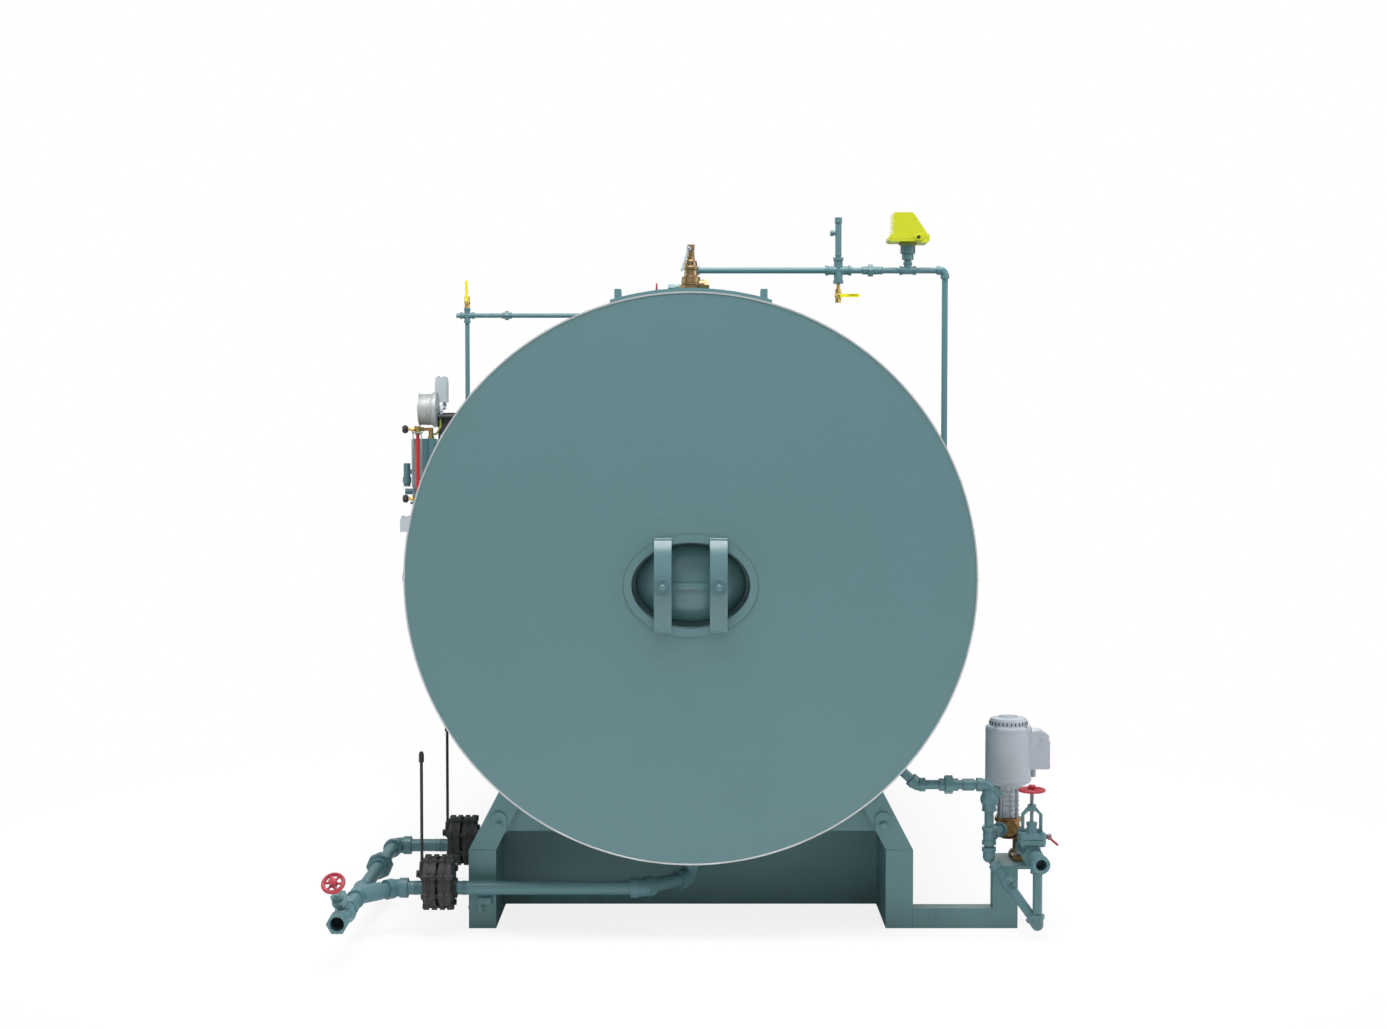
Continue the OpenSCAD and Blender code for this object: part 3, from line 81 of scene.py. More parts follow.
def mathNode(tree, x, y, operation, first, second):
    node = addNode(tree, "ShaderNodeMath", x, y, operation=operation)
    for index, value in enumerate((first, second)):
        if isinstance(value, (int, float)):
            node.inputs[index].default_value = value
        else:
            tree.links.new(value, node.inputs[index])
    return node.outputs[0]


def mixColour(tree, x, y, factor, first, second, blend="MIX"):
    node = addNode(tree, "ShaderNodeMix", x, y, data_type="RGBA", blend_type=blend)
    for socket, value in ((node.inputs[0], factor), (node.inputs[6], first), (node.inputs[7], second)):
        if isinstance(value, bpy.types.NodeSocket):
            tree.links.new(value, socket)
        else:
            socket.default_value = value
    return node.outputs[2]


def noiseNode(tree, x, y, vector, scale, detail=3, rough=0.55):
    node = addNode(tree, "ShaderNodeTexNoise", x, y)
    setInputs(node, {"Detail": detail, "Roughness": rough})
    if isinstance(scale, (int, float)):
        node.inputs["Scale"].default_value = scale
    else:
        tree.links.new(scale, node.inputs["Scale"])
    tree.links.new(vector, node.inputs["Vector"])
    return node.outputs["Fac"]


def mixInto(out, tree, mask, first, second):
    mix = addNode(tree, "ShaderNodeMixShader", 500, 0)
    tree.links.new(mix.outputs[0], out.inputs[0])
    for index, source in enumerate((mask, first.outputs[0], second.outputs[0])):
        tree.links.new(source, mix.inputs[index])


def buildPaintWear():
    # clouding, settled dust, floor grime and the fine skin of a sprayed coat
    group = newGroup("paintWear", [
        ("Vector", None), ("Base", (0.5, 0.5, 0.5, 1)), ("Cloud Scale", 3.0), ("Cloud", 0.3),
        ("Dust", 0.2), ("Grime", 0.4), ("Gloss", 0.4), ("Skin Scale", 420.0)])
    start = addNode(group, "NodeGroupInput", -900, 0)
    end = addNode(group, "NodeGroupOutput", 900, 0)
    get = start.outputs
    cloud = noiseNode(group, -700, 300, get["Vector"], get["Cloud Scale"], 5)
    cloudMask = mathNode(group, -300, 300, "MULTIPLY", rampNode(group, -500, 300, 0.35, 0.7, cloud),
                         get["Cloud"])
    shade = mixColour(group, -100, 300, 1.0, get["Base"], (0.86, 0.87, 0.87, 1), "MULTIPLY")
    colour = mixColour(group, 100, 300, cloudMask, get["Base"], shade)
    geometry = addNode(group, "ShaderNodeNewGeometry", -900, -300)
    facing = addNode(group, "ShaderNodeSeparateXYZ", -700, -300)
    group.links.new(geometry.outputs["Normal"], facing.inputs[0])
    speck = noiseNode(group, -700, -100, get["Vector"], 26.0, 6, 0.7)
    up = rampNode(group, -500, -300, 0.35, 1.0, facing.outputs["Z"])
    dust = mathNode(group, -300, -200, "MULTIPLY", up, rampNode(group, -500, -100, 0.3, 0.75, speck))
    dust = mathNode(group, -100, -200, "MULTIPLY", dust, get["Dust"])
    colour = mixColour(group, 300, 200, dust, colour, srgb(186, 184, 176))
    height = addNode(group, "ShaderNodeSeparateXYZ", -700, -500)
    group.links.new(get["Vector"], height.inputs[0])
    low = rampNode(group, -500, -500, 0.16, 0.0, height.outputs["Z"])
    grime = mathNode(group, -300, -500, "MULTIPLY", low, rampNode(group, -300, -650, 0.3, 0.8, speck))
    grime = mathNode(group, -100, -500, "MULTIPLY", grime, get["Grime"])
    colour = mixColour(group, 500, 100, grime, colour, srgb(92, 86, 76))
    group.links.new(colour, end.inputs["Color"])
    worn = mathNode(group, 0, -100, "ADD", dust, cloudMask)
    rough = mathNode(group, 300, -200, "ADD", get["Gloss"],
                     mathNode(group, 100, -200, "MULTIPLY", worn, 0.35))
    group.links.new(rough, end.inputs["Roughness"])
    skin = noiseNode(group, 100, -500, get["Vector"], get["Skin Scale"], 2)
    group.links.new(skin, end.inputs["Height"])
    return group


def buildCastMetal():
    # patina in the hollows of a cast or drawn metal, with sand or drawing marks
    group = newGroup("castMetal", [
        ("Vector", None), ("Bright", (0.7, 0.7, 0.7, 1)), ("Tarnish", (0.3, 0.3, 0.3, 1)),
        ("Amount", 0.5), ("Spread", 40.0), ("Gloss", 0.3), ("Grain Scale", 600.0)])
    start = addNode(group, "NodeGroupInput", -700, 0)
    end = addNode(group, "NodeGroupOutput", 700, 0)
    get = start.outputs
    patch = noiseNode(group, -500, 200, get["Vector"], get["Spread"], 6, 0.65)
    mask = mathNode(group, -100, 200, "MULTIPLY", rampNode(group, -300, 200, 0.38, 0.66, patch),
                    get["Amount"])
    group.links.new(mixColour(group, 200, 200, mask, get["Bright"], get["Tarnish"]),
                    end.inputs["Color"])
    group.links.new(mathNode(group, 200, 0, "ADD", get["Gloss"],
                             mathNode(group, 0, 0, "MULTIPLY", mask, 0.3)), end.inputs["Roughness"])
    group.links.new(noiseNode(group, 0, -300, get["Vector"], get["Grain Scale"], 4),
                    end.inputs["Height"])
    return group


paintWear = buildPaintWear()
castMetal = buildCastMetal()


def newMaterial(name, group, settings, bump, distance, stretch=(1, 1, 1), **changes):
    # changes: settings of the group, or values for the shader's own sockets, with _ for a blank
    material = bpy.data.materials.new(name)
    material.use_nodes = True
    tree = material.node_tree
    tree.nodes.clear()
    out = addNode(tree, "ShaderNodeOutputMaterial", 700, 0)
    shader = addNode(tree, "ShaderNodeBsdfPrincipled", 400, 0)
    tree.links.new(shader.outputs[0], out.inputs[0])
    coords = addNode(tree, "ShaderNodeTexCoord", -700, 0)
    mapping = addNode(tree, "ShaderNodeMapping", -500, 0)
    setInputs(mapping, {"Scale": stretch})
    tree.links.new(coords.outputs["Object"], mapping.inputs["Vector"])
    detail = addNode(tree, "ShaderNodeGroup", -200, 0, node_tree=group)
    tree.links.new(mapping.outputs[0], detail.inputs["Vector"])
    setInputs(detail, settings)
    tree.links.new(detail.outputs["Color"], shader.inputs["Base Color"])
    tree.links.new(detail.outputs["Roughness"], shader.inputs["Roughness"])
    relief = addNode(tree, "ShaderNodeBump", 150, -250)
    setInputs(relief, {"Strength": bump, "Distance": distance})
    tree.links.new(detail.outputs["Height"], relief.inputs["Height"])
    tree.links.new(relief.outputs[0], shader.inputs["Normal"])
    for key, value in changes.items():
        title = key.replace("_", " ")
        setInputs(detail if title in settings else shader, {title: value})
    return material


tealSettings = {"Base": srgb(101, 137, 141), "Cloud Scale": 2.2, "Cloud": 0.25, "Dust": 0.12,
                "Grime": 0.35, "Gloss": 0.36, "Skin Scale": 260.0}
coatSettings = {"Cloud Scale": 14.0, "Cloud": 0.3, "Dust": 0.0, "Grime": 0.0, "Gloss": 0.4,
                "Skin Scale": 500.0}
metalSettings = {"Amount": 0.7, "Spread": 50.0, "Gloss": 0.4, "Grain Scale": 500.0}


def tealCoat(name, colour, bump, distance, **changes):
    settings = dict(tealSettings, Base=srgb(*colour))
    return newMaterial(name, paintWear, settings, bump, distance, **changes)


def plainCoat(name, colour, bump, distance, **changes):
    settings = dict(coatSettings, Base=srgb(*colour))
    return newMaterial(name, paintWear, settings, bump, distance, **changes)


def metalCoat(name, bright, tarnish, bump, distance, stretch=(1, 1, 1), **changes):
    settings = dict(metalSettings, Bright=srgb(*bright), Tarnish=srgb(*tarnish))
    return newMaterial(name, castMetal, settings, bump, distance, stretch, **changes)


tealPaint = newMaterial("tealEnamel", paintWear, tealSettings, 0.05, 0.0006)
# painted shade: a darker copy of the teal enamel for the upright end plates, the manway ring and the plate's
# crease
platePaintedShade = tealCoat("tealPlateEnamelPaintedShade", (92, 127, 131), 0.05, 0.0006)
# painted light: a lighter copy of the teal enamel for the manway cover and its handle, standing in for light
# on the dome
coverPaintedLight = tealCoat("tealCoverEnamelPaintedLight", (99, 136, 141), 0.06, 0.0006, Gloss=0.16, Dust=0.05)
yokePaint = tealCoat("tealYokeEnamel", (88, 122, 127), 0.12, 0.0008, Gloss=0.2, Dust=0.05)
pipePaint = tealCoat("tealPipeEnamel", (82, 121, 128), 0.12, 0.0008, Gloss=0.3, Cloud=0.5)
smallPipePaint = tealCoat("tealSmallPipeEnamel", (80, 118, 124), 0.12, 0.0008, Gloss=0.3, Cloud=0.5)
basePaint = tealCoat("tealBaseEnamel", (92, 131, 135), 0.1, 0.0008, Gloss=0.42, Cloud=0.5)
castPaint = tealCoat("tealCastEnamel", (88, 125, 131), 0.3, 0.0012, Gloss=0.34, Cloud=0.6)
redPaint = plainCoat("redEnamel", (168, 42, 58), 0.15, 0.0006, Cloud_Scale=30.0, Cloud=0.5, Dust=0.1,
                     Gloss=0.3)
motorPaint = plainCoat("motorGreyCoat", (172, 178, 187), 0.2, 0.0006, Cloud_Scale=12.0, Cloud=0.25,
                       Dust=0.15, Gloss=0.42, Skin_Scale=700.0)
boxPaint = plainCoat("boxGreyCoat", (180, 189, 194), 0.2, 0.0006, Cloud=0.25, Dust=0.15,
                     Skin_Scale=700.0)
blackBox = plainCoat("blackBoxCoat", (48, 49, 50), 0.25, 0.0006, Cloud=0.4, Dust=0.12, Gloss=0.45,
                     Skin_Scale=600.0)
blackIron = metalCoat("blackIron", (39, 39, 40), (28, 28, 29), 0.5, 0.0012, Amount=0.8, Spread=30.0,
                      Gloss=0.42, Grain_Scale=260.0)
yellowGrip = plainCoat("yellowVinyl", (226, 214, 24), 0.1, 0.0005, Cloud_Scale=20.0, Dust=0.1,
                       Gloss=0.3, Skin_Scale=800.0)
hoodYellow = plainCoat("hoodPlastic", (184, 190, 26), 0.08, 0.0005, Cloud_Scale=9.0, Dust=0.08,
                       Gloss=0.32)
safetyBrass = metalCoat("agedBrass", (160, 134, 98), (104, 86, 64), 0.25, 0.0006, Gloss=0.34,
                        Metallic=1.0)
brassMetal = metalCoat("brassBody", (208, 170, 108), (142, 108, 64), 0.25, 0.0006, Amount=0.6,
                       Spread=60.0, Gloss=0.3, Metallic=1.0)
bronzeMetal = metalCoat("bronzeCasting", (160, 128, 84), (96, 78, 54), 0.4, 0.001, Amount=0.75,
                        Spread=34.0, Gloss=0.38, Grain_Scale=320.0, Metallic=1.0)
sleeveSteel = metalCoat("sleeveSteel", (168, 173, 180), (128, 134, 142), 0.12, 0.0004, Amount=0.5,
                        Spread=30.0, Gloss=0.38, Grain_Scale=200.0, stretch=(1, 1, 14), Metallic=1.0)
rimMetal = metalCoat("rimSteel", (200, 203, 204), (168, 172, 174), 0.1, 0.0004, Amount=0.5, Spread=8.0,
                     Grain_Scale=240.0, Metallic=0.55)
plainSteel = metalCoat("millSteel", (140, 143, 147), (98, 92, 88), 0.3, 0.0008, Spread=6.0, Gloss=0.45,
                       Grain_Scale=180.0, Metallic=0.8)
boltSteel = metalCoat("boltSteel", (176, 179, 182), (120, 118, 114), 0.2, 0.0004, Amount=0.6,
                      Spread=90.0, Gloss=0.32, Metallic=1.0)
caseChrome = metalCoat("gaugeCaseSteel", (184, 186, 186), (140, 142, 144), 0.08, 0.0003, Amount=0.6,
                       Spread=22.0, Gloss=0.5, Grain_Scale=160.0, stretch=(12, 1, 1), Metallic=0.55)
woolWrap = metalCoat("mineralWool", (214, 206, 172), (180, 168, 128), 0.9, 0.004, Amount=0.8,
                     Spread=14.0, Gloss=0.75, Grain_Scale=120.0, stretch=(1, 3, 1))
siphonPaint = plainCoat("siphonCoat", (152, 160, 70), 0.1, 0.0004, Cloud_Scale=40.0, Cloud=0.5,
                        Gloss=0.34, Skin_Scale=700.0)
redTube = plainCoat("redTube", (196, 30, 34), 0.02, 0.0002, Cloud_Scale=16.0, Cloud=0.2, Gloss=0.12,
                    Skin_Scale=60.0, Coat_Weight=0.8)
dialWhite = plainCoat("dialEnamel", (232, 232, 228), 0.03, 0.0002, Cloud_Scale=12.0, Cloud=0.15,
                      Gloss=0.35)
dialBlack = plainCoat("dialMarks", (26, 26, 27), 0.03, 0.0002, Cloud_Scale=60.0)
guardPaint = plainCoat("guardGreyCoat", (140, 148, 152), 0.2, 0.0006, Cloud=0.35, Dust=0.1,
                       Skin_Scale=700.0)
# painted shade: a darker copy of the hood's yellow for the part that sits under the hood
hoodPaintedShade = plainCoat("hoodUndersidePaintedShade", (120, 120, 26), 0.08, 0.0005, Cloud_Scale=9.0, Gloss=0.5)
sealant = metalCoat("darkSealant", (88, 118, 122), (74, 100, 104), 0.5, 0.0008, Gloss=0.55,
                    Grain_Scale=300.0)
# dark fibre of the front gasket; the same colour is painted shade on the inserts that fill bores, slots and
# windows
gasketAndHoleShade = metalCoat("gasketFibreAndHoleShade", (60, 60, 60), (38, 38, 38), 0.6, 0.0008, Spread=80.0, Gloss=0.7)

finishes = [
    (tealPaint, "jacket crown_pad"),
    (platePaintedShade, "rear_plate front_plate manway_ring"),
    (coverPaintedLight, "manway_cover"),
    (yokePaint, "manway_yokes"),
    (castPaint, "front_cover gate_valve slow_valve"),
    (basePaint, "floor_rails rear_saddle front_saddle pump_stand lifting_lugs"),
    (pipePaint, "blowdown_lines blowdown_trunk top_fittings steam_outlet"),
    (smallPipePaint, "suction_line bypass_line feed_line right_run left_run water_column"),
    (plainSteel, "pressure_shell rear_head front_head"),
    (woolWrap, "insulation_wrap"),
    (rimMetal, "end_rims"),
    (blackIron, "quick_valves near_lever far_lever cock_knobs"),
    (blackBox, "control_box"),
    (redPaint, "gate_wheel slow_wheel drain_lever"),
    (yellowGrip, "right_lever left_lever"),
    (brassMetal, "ball_valves gauge_cocks"),
    (safetyBrass, "safety_valve"),
    (bronzeMetal, "pump_casing"),
    (sleeveSteel, "pump_sleeve"),
    (motorPaint, "pump_motor terminal_box"),
    (boxPaint, "safety_lever pressure_switch probe_heads"),
    (guardPaint, "gauge_guard"),
    (hoodYellow, "sensor_cover"),
    (redTube, "gauge_glass"),
    (caseChrome, "pressure_gauge"),
    (siphonPaint, "siphon_tube"),
]
for material, names in finishes:
    for name in names.split():
        nodes[name].data.materials.clear()
        nodes[name].data.materials.append(material)
print("boiler: materials placed")


def deselectAll():
    bpy.ops.object.select_all(action="DESELECT")


def takeOnly(piece):
    deselectAll()
    piece.select_set(True)
    bpy.context.view_layer.objects.active = piece


def applyPlace(piece):
    takeOnly(piece)
    bpy.ops.object.transform_apply(location=True, rotation=True, scale=True)
    return piece


def aim(piece, spot, direction):
    piece.rotation_mode = "QUATERNION"
    piece.rotation_quaternion = Vector(direction).to_track_quat("Z", "Y")
    piece.location = spot
    return applyPlace(piece)


def turnedPiece(name, steps, spot=(0, 0, 0), direction=(0, 0, 1), sides=32):
    # a disc extruded and scaled step by step; each step is (height, radius) in millimetres
    deselectAll()
    start, radius = steps[0]
    bpy.ops.mesh.primitive_circle_add(vertices=sides, radius=radius / 1000, fill_type="NGON",
                                      location=(0, 0, 0))
    piece = bpy.context.object
    piece.name = name
    bpy.ops.object.mode_set(mode="EDIT")
    bpy.ops.mesh.select_all(action="SELECT")
    if start:
        bpy.ops.transform.translate(value=(0, 0, start / 1000))
    for height, nextRadius in steps[1:]:
        bpy.ops.mesh.extrude_region_move(
            TRANSFORM_OT_translate={"value": (0, 0, (height - start) / 1000)})
        if nextRadius != radius:
            grow = nextRadius / radius
            bpy.ops.transform.resize(value=(grow, grow, 1), center_override=(0, 0, height / 1000))
        start, radius = height, nextRadius
    faceOutward()
    return aim(piece, spot, direction)


def softenEdges(piece, width, segments=2, angle=35):
    takeOnly(piece)
    bevel = piece.modifiers.new("edge", "BEVEL")
    bevel.width = width / 1000
    bevel.segments = segments
    bevel.limit_method = "ANGLE"
    bevel.angle_limit = math.radians(angle)
    bpy.ops.object.modifier_apply(modifier=bevel.name)
    return piece


def blockPiece(name, low, high, edge=1.0):
    # corners given as (x, depth, z) in millimetres
    deselectAll()
    a, b = place(*low), place(*high)
    bpy.ops.mesh.primitive_cube_add(size=1, location=(a + b) / 2)
    piece = bpy.context.object
    piece.name = name
    piece.scale = b - a
    applyPlace(piece)
    return softenEdges(piece, edge) if edge else piece


def ringPiece(name, spot, direction, major, minor, majorSteps=64, minorSteps=10, squash=1.0):
    deselectAll()
    bpy.ops.mesh.primitive_torus_add(major_radius=major / 1000, minor_radius=minor / 1000,
                                     major_segments=majorSteps, minor_segments=minorSteps)
    piece = bpy.context.object
    piece.name = name
    piece.scale = (1, 1, squash)
    applyPlace(piece)
    return aim(piece, spot, direction)


def joinPieces(pieces, name):
    deselectAll()
    for piece in pieces:
        piece.select_set(True)
    bpy.context.view_layer.objects.active = pieces[0]
    if len(pieces) > 1:
        bpy.ops.object.join()
    piece = bpy.context.object
    piece.name = name
    return applyPlace(piece)


def repeatPiece(master, spots, name):
    # spots are (place, direction); the master stands at the origin and points up
    copies = []
    for spot, direction in spots:
        copy = master.copy()
        copy.data = master.data.copy()
        bpy.context.scene.collection.objects.link(copy)
        copies.append(aim(copy, spot, direction))
    bpy.data.objects.remove(master)
    return joinPieces(copies, name)


def faceOutward():
    # in edit mode: turns all faces outward and goes back to object mode
    bpy.ops.mesh.select_all(action="SELECT")
    bpy.ops.mesh.normals_make_consistent(inside=False)
    bpy.ops.object.mode_set(mode="OBJECT")


def finishPiece(piece, material, body="boiler", angle=40):
    takeOnly(piece)
    bpy.ops.object.shade_smooth_by_angle(angle=math.radians(angle))
    piece.data.materials.clear()
    piece.data.materials.append(material)
    piece.data.name = piece.name
    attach(piece, body)


def finishGroup(pieces, name, material, body="boiler", angle=40):
    finishPiece(joinPieces(pieces, name), material, body, angle)


def hexBolt(name, acrossFlats, head, washer=0):
    # hexagon head with a turned chamfer on top, on a round washer where it has one
    r = acrossFlats / 2 / math.cos(math.pi / 6)
    top = turnedPiece(name, [(washer, r * 0.98), (washer + head * 0.82, r), (washer + head, r * 0.86),
                             (washer + head, r * 0.5), (washer + head * 1.06, r * 0.3)], sides=6)
    softenEdges(top, 0.06 * acrossFlats, 1)
    if not washer:
        return top
    plate = turnedPiece(name + "Washer", [(0, r * 1.25), (washer * 0.8, r * 1.3), (washer, r * 1.22)],
                        sides=20)
    return joinPieces([top, plate], name)


def roundSpots(count, radius, turn=0.0):
    # places (across, along) spaced evenly round a circle, the first one at the angle turn
    angles = [2 * math.pi * index / count + turn for index in range(count)]
    return [(radius * math.cos(a), radius * math.sin(a)) for a in angles]


def boltRow(name, spots, acrossFlats, head, washer, material=boltSteel):
    bolt = hexBolt("bolt", acrossFlats, head, washer)
    finishPiece(repeatPiece(bolt, spots, name), material)


def turnedRow(name, spots, steps, sides, material=boltSteel):
    finishPiece(repeatPiece(turnedPiece(name, steps, sides=sides), spots, name), material)


viewSetup = {"spot": (0.0093, -8.304, 1.764), "pitch": 2.3, "lens": 50.0, "sensor": 36.0}


def makeCamera():
    data = bpy.data.cameras.new("photoView")
    data.lens = viewSetup["lens"]
    data.sensor_width = viewSetup["sensor"]
    data.clip_end = 100
    camera = bpy.data.objects.new("photoView", data)
    bpy.context.scene.collection.objects.link(camera)
    camera.location = viewSetup["spot"]
    camera.rotation_euler = (math.radians(90 - viewSetup["pitch"]), 0, 0)
    bpy.context.scene.camera = camera


lampSetup = {
    "top": {"spot": (0.0, -2.4, 6.6), "aim": (0, -1.6, 1.2), "size": 4.5, "power": 470},
    "front": {"spot": (-2.5, -7.5, 4.0), "aim": (0, -1.2, 1.2), "size": 5.0, "power": 30},
    "right": {"spot": (6.5, -2.5, 4.5), "aim": (0, 0, 1.2), "size": 4.0, "power": 150},
    "left": {"spot": (-6.5, 1.0, 4.5), "aim": (0, 0, 1.2), "size": 4.0, "power": 150},
    "back": {"spot": (1.0, 7.5, 5.0), "aim": (0, 0, 1.2), "size": 5.0, "power": 200},
}
worldLevel = 0.37


def makeLamps():
    for name, lamp in lampSetup.items():
        data = bpy.data.lights.new(name + "Lamp", "AREA")
        data.shape = "DISK"
        data.size = lamp["size"]
        data.energy = lamp["power"]
        light = bpy.data.objects.new(name + "Lamp", data)
        bpy.context.scene.collection.objects.link(light)
        light.location = lamp["spot"]
        way = Vector(lamp["aim"]) - Vector(lamp["spot"])
        light.rotation_euler = way.to_track_quat("-Z", "Y").to_euler()


def seenDirectly(tree, x, y):
    # 1 for what the camera sees straight or through glass
    path = addNode(tree, "ShaderNodeLightPath", x, y)
    return mathNode(tree, x + 200, y, "MAXIMUM", path.outputs["Is Camera Ray"],
                    path.outputs["Is Transmission Ray"])


def makeWorld():
    world = bpy.data.worlds.new("paleSurroundings")
    bpy.context.scene.world = world
    world.use_nodes = True
    tree = world.node_tree
    tree.nodes.clear()
    out = addNode(tree, "ShaderNodeOutputWorld", 600, 0)
    dim = addNode(tree, "ShaderNodeBackground", 100, 100)
    setInputs(dim, {"Color": (0.96, 0.98, 1.0, 1), "Strength": worldLevel})
    white = addNode(tree, "ShaderNodeBackground", 100, -100)
    setInputs(white, {"Color": (1, 1, 1, 1), "Strength": 1.0})
    mixInto(out, tree, seenDirectly(tree, -300, 0), dim, white)


def makeFloor():
    deselectAll()
    bpy.ops.mesh.primitive_plane_add(size=60, location=(0, 0, -0.0005))
    floor = bpy.context.object
    floor.name = "studioFloor"
    material = bpy.data.materials.new("paleFloor")
    material.use_nodes = True
    tree = material.node_tree
    tree.nodes.clear()
    out = addNode(tree, "ShaderNodeOutputMaterial", 900, 0)
    matte = addNode(tree, "ShaderNodeBsdfDiffuse", 300, 200)
    setInputs(matte, {"Color": (0.92, 0.92, 0.92, 1)})
    glow = addNode(tree, "ShaderNodeEmission", 300, -100)
    setInputs(glow, {"Color": (1, 1, 1, 1)})
    coords = addNode(tree, "ShaderNodeTexCoord", -500, 0)
    spread = addNode(tree, "ShaderNodeVectorMath", -300, 0, operation="LENGTH")
    tree.links.new(coords.outputs["Object"], spread.inputs[0])
    # only the ground close to the base keeps a soft shadow
    far = rampNode(tree, -100, 0, 1.6, 3.2, spread.outputs["Value"], 0.84, 1.0)
    mask = mathNode(tree, 100, 0, "MULTIPLY", far, seenDirectly(tree, -300, -300))
    mixInto(out, tree, mask, matte, glow)
    floor.data.materials.append(material)


makeCamera()
makeLamps()
makeWorld()
makeFloor()
bpy.context.scene.view_settings.view_transform = "Standard"
print("boiler: camera and studio ready")

left, right, front, rear, up, down = (-1, 0, 0), (1, 0, 0), (0, 1, 0), (0, -1, 0), (0, 0, 1), (0, 0, -1)

manwaySetup = {"z": 1250, "ringWidth": 466, "ringHeight": 354, "yokeX": 96.5, "yokeFace": -68.2,
               "creaseRadius": 269, "handleDepth": 42}


def makeManway(m):
    z, yokeX = m["z"], m["yokeX"]
    seal = ringPiece("manwaySeal", (0, 0, 0), up, m["ringWidth"] / 2 + 1, 2.0, 96, 8)
    seal.scale = (1, m["ringHeight"] / m["ringWidth"], 0.7)
    applyPlace(seal)
    finishPiece(aim(seal, place(0, -0.4, z), rear), sealant)
    handle = blockPiece("coverHandle", (-66.3, m["handleDepth"] - 9, z - 17),
                        (66.3, m["handleDepth"] + 5, z + 6), 4)
    finishPiece(handle, coverPaintedLight)
    crease = ringPiece("plateCrease", place(0, -0.1, z - 8), rear, m["creaseRadius"], 0.9, 128, 6, 0.5)
    finishPiece(crease, platePaintedShade)
    for name, steps, sides, depth in (
            ("yokeWashers", [(0, 29), (2.5, 30.5), (5, 29), (5.2, 20)], 40, m["yokeFace"] + 2.4),
            ("yokeStudTips", [(0, 11.6), (3, 12.2), (6, 11.2), (9, 8), (10.2, 3.5)], 28,
             m["yokeFace"] - 30.5)):
        turnedRow(name, [(place(s * yokeX, depth, z), rear) for s in (-1, 1)], steps, sides,
                  yokePaint)
    # cast ribs that thicken each yoke where its foot stands on the ring
    feet = [blockPiece("yokeFoot", (s * yokeX - 33, -13, z + e * 149 - 14),
                       (s * yokeX + 33, -6.3, z + e * 149 + 14), 3.0)
            for s in (-1, 1) for e in (-1, 1)]
    finishGroup(feet, "yokeFeet", yokePaint)


makeManway(manwaySetup)
print("boiler: manway done")

baseSetup = {"faceDepth": 206, "legInner": 700, "legOuter": 798, "knee": 283}


def weldLine(name, start, end, radius, step=7.0):
    # rippled bead: a rod whose radius swells and shrinks along its length
    way = Vector(end) - Vector(start)
    length = way.length * 1000
    count = max(4, int(length / step))
    steps = [(0, radius * 0.5)]
    for index in range(1, 2 * count):
        steps.append((length * index / (2 * count), radius * (1.0 if index % 2 else 0.82)))
    steps.append((length, radius * 0.5))
    return turnedPiece(name, steps, start, way, 8)


def makeBase(b):
    tabs = [(place(s * 688, d, 376), way) for s in (-1, 1) for d, way in ((197.8, rear), (3102.2, front))]
    boltRow("saddleTabBolts", tabs, 20, 9, 3, basePaint)
    face = b["faceDepth"]
    lug = [blockPiece("lugPlate", (-766, face - 15, 88), (-716, face - 0.3, 114), 2),
           blockPiece("lugLeg", (-766, face - 15, 58), (-746, face - 0.3, 90), 2)]
    finishGroup(lug, "groundLug", basePaint)
    plug = turnedPiece("railPlug", [(0, 15), (4, 14.6), (5, 12.5), (5, 8), (3.4, 7.6), (3.4, 4)],
                       place(871, face - 0.2, 51), rear, 24)
    finishPiece(plug, basePaint)
    beads = []
    for s in (-1, 1):
        beads.append(weldLine("seam", place(s * b["legInner"], face - 0.3, b["knee"]),
                              place(s * b["legOuter"], face - 0.3, b["knee"]), 1.6))
        beads.append(weldLine("seam", place(s * 700, face + 322, 74), place(s * 700, face + 322, 270), 4))
    beads.append(weldLine("seam", place(799, face - 0.3, 2), place(799, face - 0.3, 70), 3))
    finishGroup(beads, "baseWelds", basePaint, angle=60)
    railBeads = [weldLine("seam", place(s * 799, d, 74), place(s * 799, d + 334, 74), 3.2, 12)
                 for s in (-1, 1) for d in (206, 2760)]
    finishGroup(railBeads, "railWelds", basePaint, angle=60)


makeBase(baseSetup)
print("boiler: base done")

jacketSetup = {"radius": 991.5, "axisZ": 1270, "bands": (870, 1650, 2430), "bandWidth": 38,
               "openAngle": 19, "rivetPitch": 110, "seamAngles": (-28, 208), "middle": 1650}


def onJacket(angle, depth, out=0.0, j=jacketSetup):
    # point on the jacket; angle in degrees from +X towards +Z
    a = math.radians(angle)
    r = j["radius"] + out
    way = Vector((math.cos(a), 0, math.sin(a)))
    return place(r * math.cos(a), depth, j["axisZ"] + r * math.sin(a)), way


